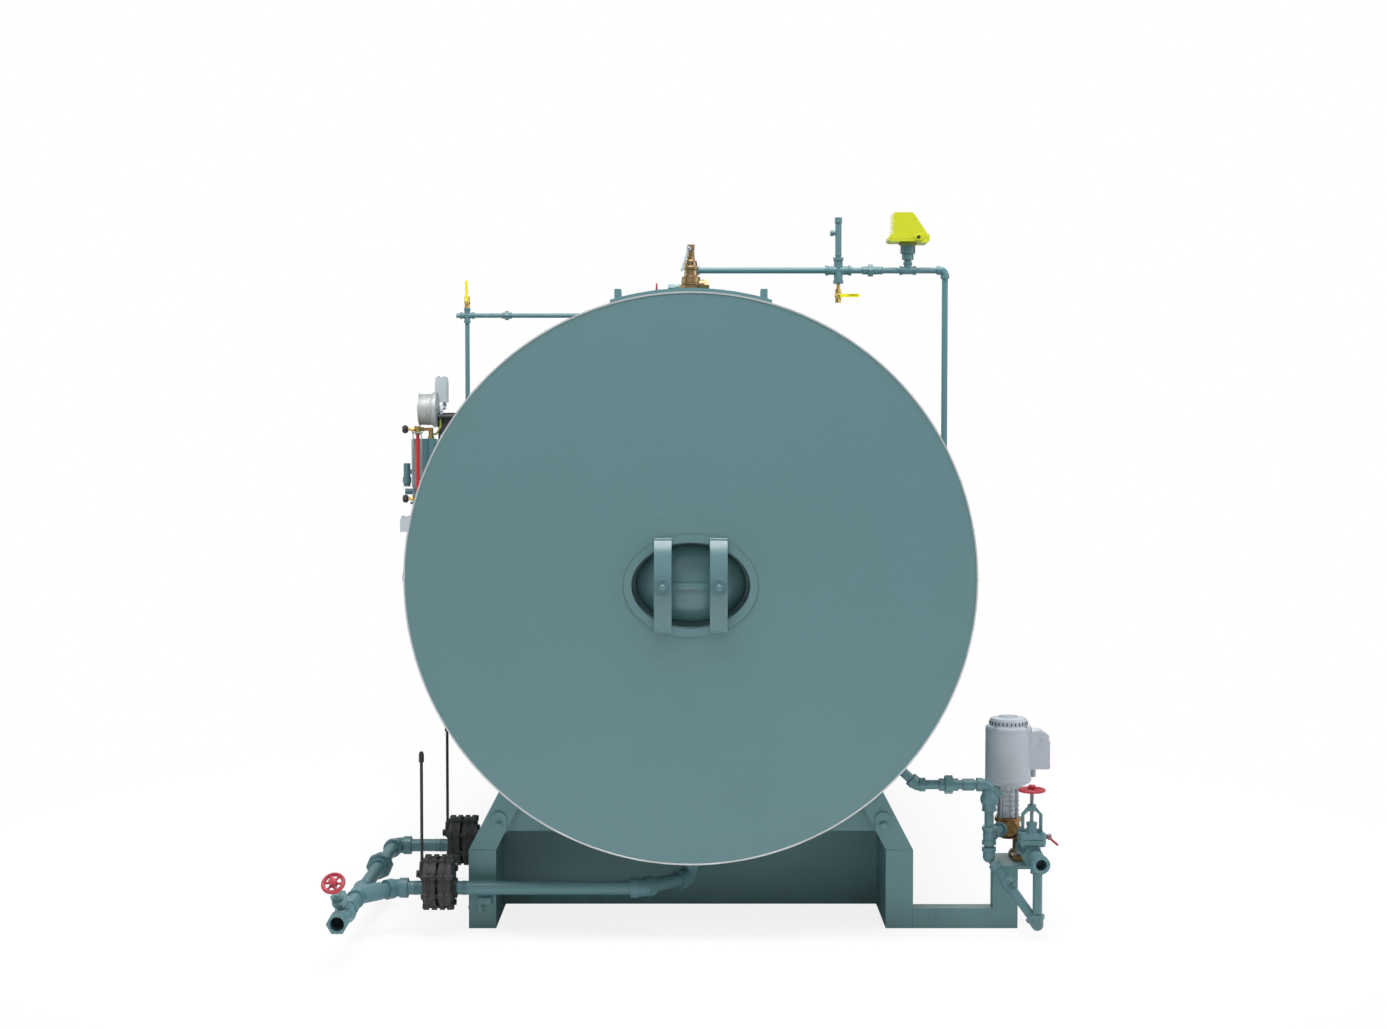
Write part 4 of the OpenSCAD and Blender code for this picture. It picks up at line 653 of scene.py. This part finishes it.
def makeBands(j):
    for number, depth in enumerate(j["bands"], 1):
        deselectAll()
        bpy.ops.mesh.primitive_cylinder_add(vertices=180, radius=(j["radius"] + 0.4) / 1000,
                                            depth=j["bandWidth"] / 1000, end_fill_type="NOTHING")
        band = bpy.context.object
        band.name = "jacketBand%d" % number
        aim(band, place(0, depth, j["axisZ"]), front)
        bpy.ops.object.mode_set(mode="EDIT")
        bpy.ops.mesh.select_all(action="DESELECT")
        bpy.ops.object.mode_set(mode="OBJECT")
        limit = j["axisZ"] / 1000 + j["radius"] / 1000 * math.cos(math.radians(j["openAngle"]))
        for face in band.data.polygons:
            face.select = face.center.z > limit
        bpy.ops.object.mode_set(mode="EDIT")
        bpy.ops.mesh.delete(type="FACE")
        bpy.ops.object.mode_set(mode="OBJECT")
        wall = band.modifiers.new("wall", "SOLIDIFY")
        wall.thickness = 0.0012
        wall.offset = 1
        bpy.ops.object.modifier_apply(modifier=wall.name)
        takeOnly(band)
        bpy.ops.object.mode_set(mode="EDIT")
        faceOutward()
        finishPiece(band, tealPaint)
    clasp = [blockPiece("claspBody", (-14, 1636, 0), (14, 1664, 6), 1.5),
             blockPiece("claspTail", (-30, 1641, 0), (30, 1659, 3), 1.0),
             aim(hexBolt("claspScrew", 8, 4), place(0, 1650, 6), up)]
    master = joinPieces(clasp, "bandClasp")
    spots = [onJacket(angle, depth, 1.2) for depth in j["bands"] for angle in (12, 168)]
    finishPiece(repeatPiece(master, spots, "bandClasps"), boltSteel)


def makeSeams(j):
    rivets = []
    for angle in j["seamAngles"]:
        spot = onJacket(angle, j["middle"])[0]
        deselectAll()
        bpy.ops.mesh.primitive_cube_add(size=1)
        strip = bpy.context.object
        strip.name = "jacketSeam" + ("Right" if angle < 90 else "Left")
        strip.scale = (0.034, 3.268, 0.0016)
        applyPlace(strip)
        softenEdges(strip, 0.5, 1)
        strip.rotation_euler = (0, math.radians(90 - angle), 0)
        strip.location = spot
        applyPlace(strip)
        finishPiece(strip, tealPaint)
        rivets += [onJacket(angle, depth, 0.7) for depth in range(40, 3270, j["rivetPitch"])]
    for depth in (9, 3291):
        for angle in range(-60, 61, 10):
            rivets.append(onJacket(angle, depth, 4.1))
            rivets.append(onJacket(180 - angle, depth, 4.1))
    turnedRow("jacketRivets", rivets, [(0, 5), (1.4, 4.6), (2.4, 3.0), (2.8, 1.2)], 12, rimMetal)


def makeCollars(j):
    # flashing rings where pipes pass through the jacket
    def collar(inner, outer):
        return turnedPiece("collar", [(0, outer), (3, outer - 1), (3, inner + 7), (9, inner + 2),
                                      (9, inner + 0.6), (0.6, inner + 0.6)], sides=40)
    crown = j["axisZ"] + j["radius"] + 34.2
    rings = [aim(collar(r, r + 30), place(0, d, crown), up)
             for d, r in ((600, 26.5), (1400, 12.8), (2000, 57.3), (2500, 11), (760, 10.5))]
    low = j["axisZ"] - j["radius"]
    rings += [aim(collar(24.6, 56), place(0, d, low + 1.5), down) for d in (317, 862)]
    for angle, depth, r in ((8.7, 1400, 14.5), (151.7, 2500, 18), (185.2, 2500, 15), (-42.7, 150, 18)):
        spot, out = onJacket(angle, depth, -1.5)
        rings.append(aim(collar(r, r + 26), spot, out))
    finishGroup(rings, "pipeCollars", tealPaint)


makeBands(jacketSetup)
makeSeams(jacketSetup)
makeCollars(jacketSetup)
print("boiler: jacket trim done")

frontSetup = {"face": 3340, "thick": 60, "radius": 290, "boltCircle": 262, "bolts": 16}


def makeFrontFlange(f):
    z, outer = jacketSetup["axisZ"], f["face"] + f["thick"]
    joint = ringPiece("frontGasket", place(0, f["face"] + f["thick"] / 2, z), front, f["radius"] - 0.6,
                      2.4, 96, 8)
    finishPiece(joint, gasketAndHoleShade)
    tips = [(place(x, outer + 17.5, z + h), front)
            for x, h in roundSpots(f["bolts"], f["boltCircle"], math.pi / f["bolts"])]
    turnedRow("frontStudTips", tips, [(0, 8), (7, 8), (9, 6.4), (9, 3)], 16)
    washers = [(spot - Vector((0, 0.0175, 0)), way) for spot, way in tips]
    turnedRow("frontWashers", washers, [(0, 21), (2.4, 20.5), (2.6, 15)], 24)
    eyeFoot = place(0, f["face"] + 0.7 * f["thick"], z + f["radius"] - 0.6)
    handle = [ringPiece("liftEye", eyeFoot + Vector((0, 0, 0.034)), front, 24, 6.5, 40, 10),
              turnedPiece("eyeFoot", [(0, 15), (4, 14), (8, 10), (15, 8)], eyeFoot, up, 24)]
    finishGroup(handle, "coverLiftEye", castPaint)


makeFrontFlange(frontSetup)
print("boiler: front flange done")

pumpSetup = {"x": 1157, "footX": 1208, "depth": 330, "standZ": 226, "casingTop": 380,
             "sleeveTop": 501, "motorRadius": 83, "motorTop": 715, "coverTop": 747, "boxX": 1298}


def makePump(p):
    x, d, top = p["x"], p["depth"], p["coverTop"] + 0.4
    ribs = [ringPiece("grille", place(x, d, top), up, r, 1.6, 40, 8) for r in (14, 25, 36)]
    for (ax, ay), (bx, by) in zip(roundSpots(8, 5), roundSpots(8, 38)):
        ribs.append(weldLine("spoke", place(x + ax, d + ay, top), place(x + bx, d + by, top), 1.5, 16))
    ribs.append(turnedPiece("grilleHub", [(0, 7), (2.4, 6.6), (3, 4)], place(x, d, top - 1), up, 24))
    finishGroup(ribs, "fanGrille", motorPaint)
    # dark pins in the fan cover's slots: painted shade for the insides of the openings
    slots = [(place(x + ax, d + ay, p["motorTop"] + 6), up) for ax, ay in roundSpots(28, 68)]
    turnedRow("fanSlots", slots, [(0, 2.4), (9, 2.6), (10, 1.6)], 10, gasketAndHoleShade)
    bands = [ringPiece("band", place(x, d, z), up, p["motorRadius"] - 0.4, 1.5, 72, 8)
             for z in (p["sleeveTop"] + 20, p["motorTop"] - 14)]
    finishGroup(bands, "motorBands", motorPaint)
    screws = [(place(x + ax, d + ay, p["motorTop"] - 3), up) for ax, ay in roundSpots(4, 76.5, math.pi / 4)]
    boltRow("motorScrews", screws, 9, 5, 1.5)
    feet = [(place(p["footX"] + sx * 28, d + sy * 38, p["standZ"] + 18.4), up)
            for sx in (-1, 1) for sy in (-1, 1)]
    boltRow("pumpFootBolts", feet, 17, 9, 2.5)
    ties = [(place(x + ax, d + ay, p["casingTop"] + 0.5), up) for ax, ay in roundSpots(4, 41, math.pi / 4)]
    boltRow("pumpTieNuts", ties, 13, 8, 2)
    port = [(place(p["footX"] + ax, 253.2, 285 + az), rear) for ax, az in roundSpots(4, 28, math.pi / 4)]
    boltRow("suctionFlangeBolts", port, 10, 5, 1.2)
    plug = hexBolt("drainPlug", 17, 9, 3)
    finishPiece(aim(plug, place(p["footX"] - 17.9, d - 27.1, 262), (-0.55, -0.83, 0)), brassMetal)
    priming = hexBolt("primingPlug", 26, 10, 3)
    finishPiece(aim(priming, place(x, 275.9, 345), rear), bronzeMetal)
    lid = blockPiece("terminalLid", (p["boxX"] - 0.2, d - 43.5, 562), (p["boxX"] + 3.4, d + 43.5, 662), 1.2)
    finishPiece(lid, motorPaint)
    lids = [(place(p["boxX"] + 3.4, d + sy * 35, z), right) for sy in (-1, 1) for z in (570, 654)]
    turnedRow("terminalLidScrews", lids, [(0, 4), (1.6, 3.9), (2.4, 2.8), (2.4, 1.6), (1.4, 1.4)], 14)
    caps = [(place(p["boxX"] - 34, d - 42 + 2.4, z), rear) for z in (666, 642)]
    turnedRow("knockoutCaps", caps, [(0, 8.4), (1.2, 8.2), (1.6, 6), (1.2, 4)], 24, motorPaint)


makePump(pumpSetup)
print("boiler: pump set done")

valveSetup = {"x": 890, "faceHalf": 55, "z": 182, "circle": 86, "depths": (146, 862),
              "postZ": 211, "leverTop": 650, "pipeZ": 161, "trunkX": -1165}


def threadRings(name, spot, way, radius, count, pitch, thick=0.9):
    way = Vector(way).normalized()
    rings = [ringPiece(name, Vector(spot) + way * (index * pitch / 1000), way, radius, thick, 28, 6)
             for index in range(count)]
    return joinPieces(rings, name)


def makeBlowdown(v):
    outer = -v["x"] - v["faceHalf"]
    nuts = [(place(outer - 0.2, depth + ay, v["z"] + az), left)
            for depth in v["depths"] for az, ay in roundSpots(8, v["circle"], math.pi / 8)]
    boltRow("quickValveBolts", nuts, 19, 4, 1, blackIron)
    glands = []
    for depth in v["depths"]:
        # seat discs that make the outer plates two thick pairs
        for out, thick in ((17.1, 10.8), (73.1, 8.8)):
            glands.append(turnedPiece("seatDisc", [(0, 88), (0.8, 89), (thick - 0.8, 89), (thick, 88)],
                                      place(outer + out, depth, v["z"]), right, 56))
        glands.append(turnedPiece("gland", [(0, 17), (2, 17.6), (3.4, 15), (3.4, 9)],
                                  place(outer + 0.2, depth, v["postZ"]), left, 28))
        glands.append(ringPiece("neckRing", place(outer - 1, depth, v["pipeZ"]), left, 34, 3, 40, 8))
    finishGroup(glands, "quickValveGlands", blackIron)
    leverX = outer - 12
    for title, depth in zip(("near", "far"), v["depths"]):
        parts = [turnedPiece("sleeve", [(0, 6.4), (1, 8.6), (8, 9.2), (28, 9.0), (31, 8.4)],
                             place(leverX, depth, v["leverTop"] - 40), up, 24),
                 turnedPiece("collar", [(0, 7), (4, 10), (30, 8.5), (34, 6)],
                             place(leverX, depth, v["postZ"] + 12), up, 24)]
        parts += [ringPiece("ridge", place(leverX, depth, v["leverTop"] - 36 + 5 * k), up, 9.0, 0.9, 24, 6)
                  for k in range(5)]
        finishGroup(parts, title + "LeverGrip", blackIron, title + "_lever")
    # turned rings and beads on the trunk's screwed joints
    z, trunkX, farDepth = v["pipeZ"], v["trunkX"], v["depths"][1]
    trunk = [ringPiece("bead", place(trunkX, depth, z), front, 31.6, 2.0, 36, 8)
             for depth in (-27, 119, 453, 547)]
    for x, r, thick in ((-790, 24.2, 1.4), (-560, 24.2, 1.4), (-330, 24.2, 1.4), (-1000, 24.4, 1.6),
                        (-985, 24.4, 1.6)):
        trunk.append(ringPiece("bead", place(x, farDepth, z), right, r, thick, 36, 8))
    finishGroup(trunk, "trunkBeads", pipePaint)
    threads = [threadRings("thread", place(trunkX, -148, z), front, 24.4, 7, 2.6)]
    threads += [threadRings("thread", place(x, depth, z), way, 24.3, 7, 2.6)
                for x, way in ((-968, left), (-812, right)) for depth in v["depths"]]
    finishGroup(threads, "blowdownThreads", pipePaint)


makeBlowdown(valveSetup)

slowSetup = {"x": -1165, "seatDepth": -215, "z": 161, "wheelUp": 185}


def makeSlowValve(s):
    way = Vector((-0.12, -1, 1)).normalized()
    foot = place(s["x"], s["seatDepth"], s["z"])
    parts = [turnedPiece("bonnetRing", [(0, 27), (2, 30), (7, 30), (9, 26)], foot + way * 0.066, way, 36),
             turnedPiece("glandNut", [(0, 16), (2, 18), (8, 18), (10, 15)], foot + way * 0.099, way, 6)]
    finishGroup(parts, "slowValveBonnet", castPaint)
    stem = threadRings("stemThread", foot + way * 0.116, way, 6.1, 18, 3.0, 0.8)
    finishPiece(stem, boltSteel)
    wheel = foot + way * (s["wheelUp"] / 1000)
    hub = [turnedPiece("hubCap", [(0, 12), (1, 13.6), (7, 13.6), (10, 11), (10.8, 5)],
                       wheel + way * 0.0081, way, 28),
           turnedPiece("hubRing", [(0, 12.8), (1.5, 14.4), (4, 14.4), (5, 12.8)],
                       wheel - way * 0.0085, way, 28)]
    finishGroup(hub, "slowWheelHub", redPaint, "slow_wheel")
    lip = ringPiece("outletLip", place(s["x"], -371.6, s["z"]), rear, 25.6, 1.5, 48, 8)
    flats = [turnedPiece("hexMark", [(0, 3), (0.8, 3), (1.2, 2)],
                         place(s["x"] + ax, -350, s["z"] + az), (ax, 0, az), 16)
             for ax, az in roundSpots(6, 32)[1:3]]
    finishGroup([lip] + flats, "outletTrim", castPaint)
    # dark disc a little way inside the outlet: painted shade for the depth of the bore
    bore = turnedPiece("outletDepth", [(0, 23.4), (1, 23.6)], place(s["x"], -303.5, s["z"]), rear, 40)
    finishPiece(bore, gasketAndHoleShade)


makeSlowValve(slowSetup)
print("boiler: blowdown done")

gateSetup = {"x": 1208, "teeX": 1216, "teeZ": 280, "depth": 124, "stemLow": 464, "wheelZ": 515}


def makeGateValve(g):
    x, depth = g["x"], g["depth"]
    stem = threadRings("gateThread", place(x, depth, g["stemLow"]), up, 6.1, 13, 3.0, 0.8)
    low = threadRings("gateThread", place(x, depth, 402), up, 6.1, 12, 3.0, 0.8)
    finishGroup([stem, low], "gateStemThread", boltSteel)
    turned = (("gateWeb", [(0, 14), (0, 35), (1, 36), (2.4, 35), (2.4, 14)], -1.2, 48),
              ("gateHub", [(0, 11), (1, 13.4), (6, 13.4), (8, 12.8)], -9, 28),
              ("gateCap", [(0, 12), (1, 13.4), (7, 13.4), (10, 11), (10.6, 5)], 8.1, 28))
    web = [turnedPiece(name, steps, place(x, depth, g["wheelZ"] + rise), up, sides)
           for name, steps, rise, sides in turned]
    finishGroup(web, "gateWheelWeb", redPaint, "gate_wheel")
    ribs = [blockPiece("rib", (middle - 3, depth - 9, 364), (middle + 3, depth + 9, 424), 2)
            for middle in (x - 32, x + 32)]
    finishGroup(ribs, "gateYokeRibs", castPaint)
    beads = [ringPiece("bead", place(g["teeX"], d, g["teeZ"]), front, r, 2.0, 40, 8)
             for d, r in ((80, 26.4), (12, 26.4), (-5, 29.4), (-27, 29.2))]
    beads.append(ringPiece("bead", place(g["teeX"], 45, 238), up, 24.9, 1.8, 40, 8))
    beads += [ringPiece("bead", place(1061, 150, z), up, 25.2, thick, 32, 8)
              for z, thick in ((512, 1.6), (438, 1.8))]
    finishGroup(beads, "feedBeads", smallPipePaint)


makeGateValve(gateSetup)
print("boiler: suction side done")

topSetup = {"safetyDepth": 600, "valveBase": 2311.5, "runDepth": 1400, "crossX": 612, "teeX": 901,
            "rightZ": 2457, "padRadius": 1025.5, "steamDepth": 2000, "lugX": 266}


def makeTop(t):
    d, base, steam = t["safetyDepth"], t["valveBase"], t["steamDepth"]
    turned = (("collar", [(0, 26.5), (1, 28.6), (8, 28.6), (9.5, 26.5)], 79.7, 40),
              ("cap", [(0, 13), (1, 16.4), (8, 16.4), (9, 13)], 119, 6),
              ("bossRing", [(0, 35), (1.5, 37.4), (5, 37.4), (6.5, 35.5)], 20.5, 40))
    rings = [turnedPiece(name, steps, place(0, d, base + rise), up, sides)
             for name, steps, rise, sides in turned]
    rings.append(ringPiece("outletRim", place(66, d, base + 22), right, 18.5, 2.4, 36, 10))
    finishGroup(rings, "safetyValveRings", safetyBrass)
    # dark inserts in the bonnet's spring windows: painted shade for the openings
    windows = [(place(x, d + y, base + 101), (x, y, 0)) for x, y in roundSpots(8, 22.6, 0.2)]
    turnedRow("springWindows", windows, [(-1.4, 2.6), (-0.4, 3.6), (0.5, 3.6), (0.7, 2)], 18, gasketAndHoleShade)
    # dark disc inside the safety valve's outlet: painted shade for the bore
    hole = turnedPiece("outletBore", [(0, 14), (0.5, 15.4), (1.1, 15.4)],
                       place(66.2, d, base + 22), right, 32)
    finishPiece(hole, gasketAndHoleShade)
    pin = turnedPiece("leverPinCap", [(0, 5), (2, 5), (3, 3.6)], place(-8, d - 45.5, 2467), rear, 18)
    finishPiece(pin, boltSteel)
    face = [ringPiece("raisedFace", place(0, steam, 2400), up, 65.5, 12.9, 64, 12, 0.1)]
    face += [ringPiece("faceGroove", place(0, steam, 2401.2), up, r, 0.6, 64, 6) for r in range(59, 74, 3)]
    finishGroup(face, "steamFlangeFace", boltSteel)
    weld = [ringPiece("padWeld", place(0, steam, 2296), up, 60, 4, 64, 8)]
    for depth in (400, 2900):
        for s in (-1, 1):
            for x in (t["lugX"] - 13, t["lugX"] + 13):
                z = jacketSetup["axisZ"] + math.sqrt(t["padRadius"] ** 2 - x ** 2) + 0.5
                start, end = place(s * x, depth - 40, z), place(s * x, depth + 40, z)
                weld.append(weldLine("lugWeld", start, end, 4, 8))
    finishGroup(weld, "crownWelds", tealPaint, angle=60)
    # hinge hub under the hood's sloping side with a dark disc in its bore as painted shade, and its sealing
    # seam
    run = t["runDepth"]
    hub = turnedPiece("hoodHub", [(0, 15), (5, 15), (6.5, 13.4), (6.5, 8.2), (2, 7.8)],
                      place(938, run - 63.8, 2588), rear, 32)
    finishPiece(hub, hoodYellow)
    bore = turnedPiece("hoodBore", [(0, 7.6), (2.4, 7.6)], place(938, run - 65.4, 2588), rear, 24)
    finishPiece(bore, gasketAndHoleShade)
    trims = [blockPiece("seamSide", (815, low, 2583), (979, low + 1, 2586), 0.4)
             for low in (run - 64.6, run + 63.6)]
    finishGroup(trims, "hoodSeam", hoodYellow)
    # the base under the hood takes the darker yellow as painted shade
    under = turnedPiece("sensorBase", [(0, 30), (3, 36), (8, 38), (12, 38)],
                        place(t["teeX"], run, 2559.5), up, 36)
    finishPiece(under, hoodPaintedShade)
    sleeve = blockPiece("tapLeverSleeve", (-135.4, 755.2, 2327), (-128.6, 764.8, 2353), 1.5)
    finishPiece(sleeve, redPaint)
    rows = [(place(x, run, t["rightZ"]), right, r) for x, r in (
        (569, 20.8), (655, 20.8), (713, 16.5), (795, 16.5), (877, 18.6), (925, 18.6))]
    rows += [(place(t["crossX"], run, z), up, r) for z, r in (
        (2500, 20.8), (2414, 20.8), (2519, 13.1), (2655, 15))]
    rows += [(place(x, 2500, 2339), right, r) for x, r in (
        (-895, 14.6), (-853, 14.6), (-1036, 16), (-1088, 16))]
    beads = [ringPiece("bead", spot, way, r, 1.3, 28, 8) for spot, way, r in rows]
    finishGroup(beads, "topPipeBeads", smallPipePaint)
    for side, x, depth, z in (("right", 612, 1376, 2352), ("left", -1062, 2476, 2401.2)):
        nut = hexBolt(side + "LeverNut", 8, 4, 1.2)
        finishPiece(aim(nut, place(x, depth - 6.2, z), rear), boltSteel)


makeTop(topSetup)
print("boiler: top fittings done")

gaugeSetup = {"z": 1895, "depth": 2500, "dialX": -1286.4, "radius": 67, "sweep": 270, "top": 300,
              "start": 45}


def onDial(g, radius, angle, out=0.0):
    # clockwise from the foot of the dial as a reader on the left of the boiler sees it
    a = math.radians(angle)
    return place(g["dialX"] - out, g["depth"] + radius * math.sin(a), g["z"] - radius * math.cos(a))


def makeGauge(g):
    depth, z, dialX = g["depth"], g["z"], g["dialX"]
    dial = turnedPiece("gaugeDial", [(0, g["radius"]), (0.8, g["radius"]), (1.2, g["radius"] - 1)],
                       place(dialX + 1.2, depth, z), left, 72)
    finishPiece(dial, dialWhite)
    marks = []
    across = Vector((1, 0, 0))
    for step in range(31):
        angle = g["start"] + g["sweep"] * step / 30
        long = step % 5 == 0
        outer, inner = 61.0, 51.0 if long else 56.0
        a, b = onDial(g, inner, angle, 0.5), onDial(g, outer, angle, 0.5)
        deselectAll()
        bpy.ops.mesh.primitive_cube_add(size=1)
        tick = bpy.context.object
        tick.scale = (0.0006, 0.0022 if long else 0.0011, (b - a).length)
        applyPlace(tick)
        way = (b - a).normalized()
        tick.rotation_mode = "QUATERNION"
        tick.rotation_quaternion = Matrix((across, way.cross(across), way)).transposed().to_quaternion()
        tick.location = (a + b) / 2
        marks.append(softenEdges(applyPlace(tick), 0.1, 1))
    for step in range(7):
        angle = g["start"] + g["sweep"] * step / 6
        deselectAll()
        bpy.ops.object.text_add()
        number = bpy.context.object
        number.data.body = str(int(g["top"] * step / 6))
        number.data.size = 0.0125
        number.data.extrude = 0.0002
        number.data.align_x = "CENTER"
        number.data.align_y = "CENTER"
        bpy.ops.object.convert(target="MESH")
        number = bpy.context.object
        # the text reads from the left of the boiler: its X runs towards the rear
        number.rotation_euler = (math.radians(90), 0, math.radians(-90))
        number.location = onDial(g, 41, angle, 0.4)
        marks.append(applyPlace(number))
    finishGroup(marks, "dialMarks", dialBlack)
    tip, tail = onDial(g, 52, g["start"], 2.4), onDial(g, -14, g["start"], 2.4)
    needle = [weldLine("needle", tail, tip, 1.3, 40),
              turnedPiece("needleHub", [(0, 6), (2, 6), (3.2, 4)], place(dialX, depth, z),
                          left, 28)]
    finishGroup(needle, "gaugeNeedle", dialBlack)
    bezel = ringPiece("gaugeBezel", place(-1290.2, depth, z), left, 72.6, 3.0, 96, 12, 0.6)
    finishPiece(bezel, caseChrome)
    grip = [ringPiece("caseRing", place(x, depth, z), left, 73.6, 1.2, 72, 6)
            for x in (-1244, -1252)]
    finishGroup(grip, "gaugeCaseRings", caseChrome)
    rim = [(place(-1219.6, depth + ay, z + az), left) for ay, az in roundSpots(3, 79, math.pi / 6)]
    boltRow("gaugeFlangeScrews", rim, 7, 3, 0.8)


makeGauge(gaugeSetup)

levelSetup = {"columnX": -1285, "glassX": -1290, "depth": 2500, "glassDepth": 2430,
              "cockLow": 1474, "cockTop": 1801, "probeDepth": 2430}


def makeLevel(s):
    glass, probe = s["glassDepth"], s["probeDepth"]
    flange = [(place(s["columnX"] + ax, s["depth"] + ay, 1457), up)
              for ax, ay in roundSpots(4, 45, math.pi / 4)]
    boltRow("columnBolts", flange, 10, 5, 1.2)
    packs = [turnedPiece("packNut", [(0, 12), (1, 13.4), (10, 13.4), (12, 10), (12, 8.4)],
                         place(s["glassX"], glass, z), way, 6)
             for z, way in ((s["cockLow"] + 14.5, up), (s["cockTop"] - 14.5, down))]
    finishGroup(packs, "glassPackNuts", brassMetal)
    knobs = [(place(-1343.2, glass + ay, z + az), left)
             for z in (s["cockLow"], s["cockTop"]) for ay, az in roundSpots(12, 17)]
    turnedRow("knobRibs", knobs, [(0, 1.6), (1, 2.4), (10, 2.4), (11, 1.4)], 8, blackIron)
    rods = [turnedPiece("guardRod", [(0, 2.6), (1, 3.2), (293, 3.2), (294, 2.6)],
                        place(x, 2412, 1490), up, 16) for x in (-1309, -1271)]
    plates = [blockPiece("guardPlate", (-1315, 2408, z - 3), (-1265, 2432, z + 3), 1.2) for z in (1490, 1785)]
    finishGroup(rods + plates, "glassGuardRods", boltSteel)
    screws = [(place(x, 2453.8, z), rear) for x in (-1316, -1278) for z in (1545, 1740)]
    boltRow("guardScrews", screws, 7, 3, 0.8)
    box = [(place(x, 2514.6, z), rear) for x in (-1193, -1137) for z in (1734, 1866)]
    turnedRow("controlBoxScrews", box, [(0, 4), (1.4, 3.9), (2.2, 2.8), (2.2, 1.4), (1.4, 1.2)], 14)
    gland = turnedPiece("boxGland", [(0, 12), (3, 12.6), (12, 12.6), (14, 10), (24, 9), (26, 6)],
                        place(-1170, 2560, 1720.3), down, 24)
    finishPiece(gland, blackIron)
    window = blockPiece("switchScale", (-1231.3, 2608, 1962), (-1230.4, 2642, 2016), 0.4)
    finishPiece(window, dialWhite)
    tops = [(place(x, 2625, 2050.6), up) for x in (-1214, -1188)]
    boltRow("switchScrews", tops, 9, 6, 1)
    heads = [(place(x, probe + sy * 19, 1390), up) for x in (-1361, -1332) for sy in (-1, 1)]
    boltRow("probeHeadScrews", heads, 6, 3, 0.6)
    rings = [ringPiece("capRing", place(x, probe, 1104), left, r, 1.8, 40, 8)
             for x, r in ((-1355, 35), (-1341, 35.6))]
    finishGroup(rings, "probeCapRings", boxPaint)


makeLevel(levelSetup)
print("boiler: level controls done")
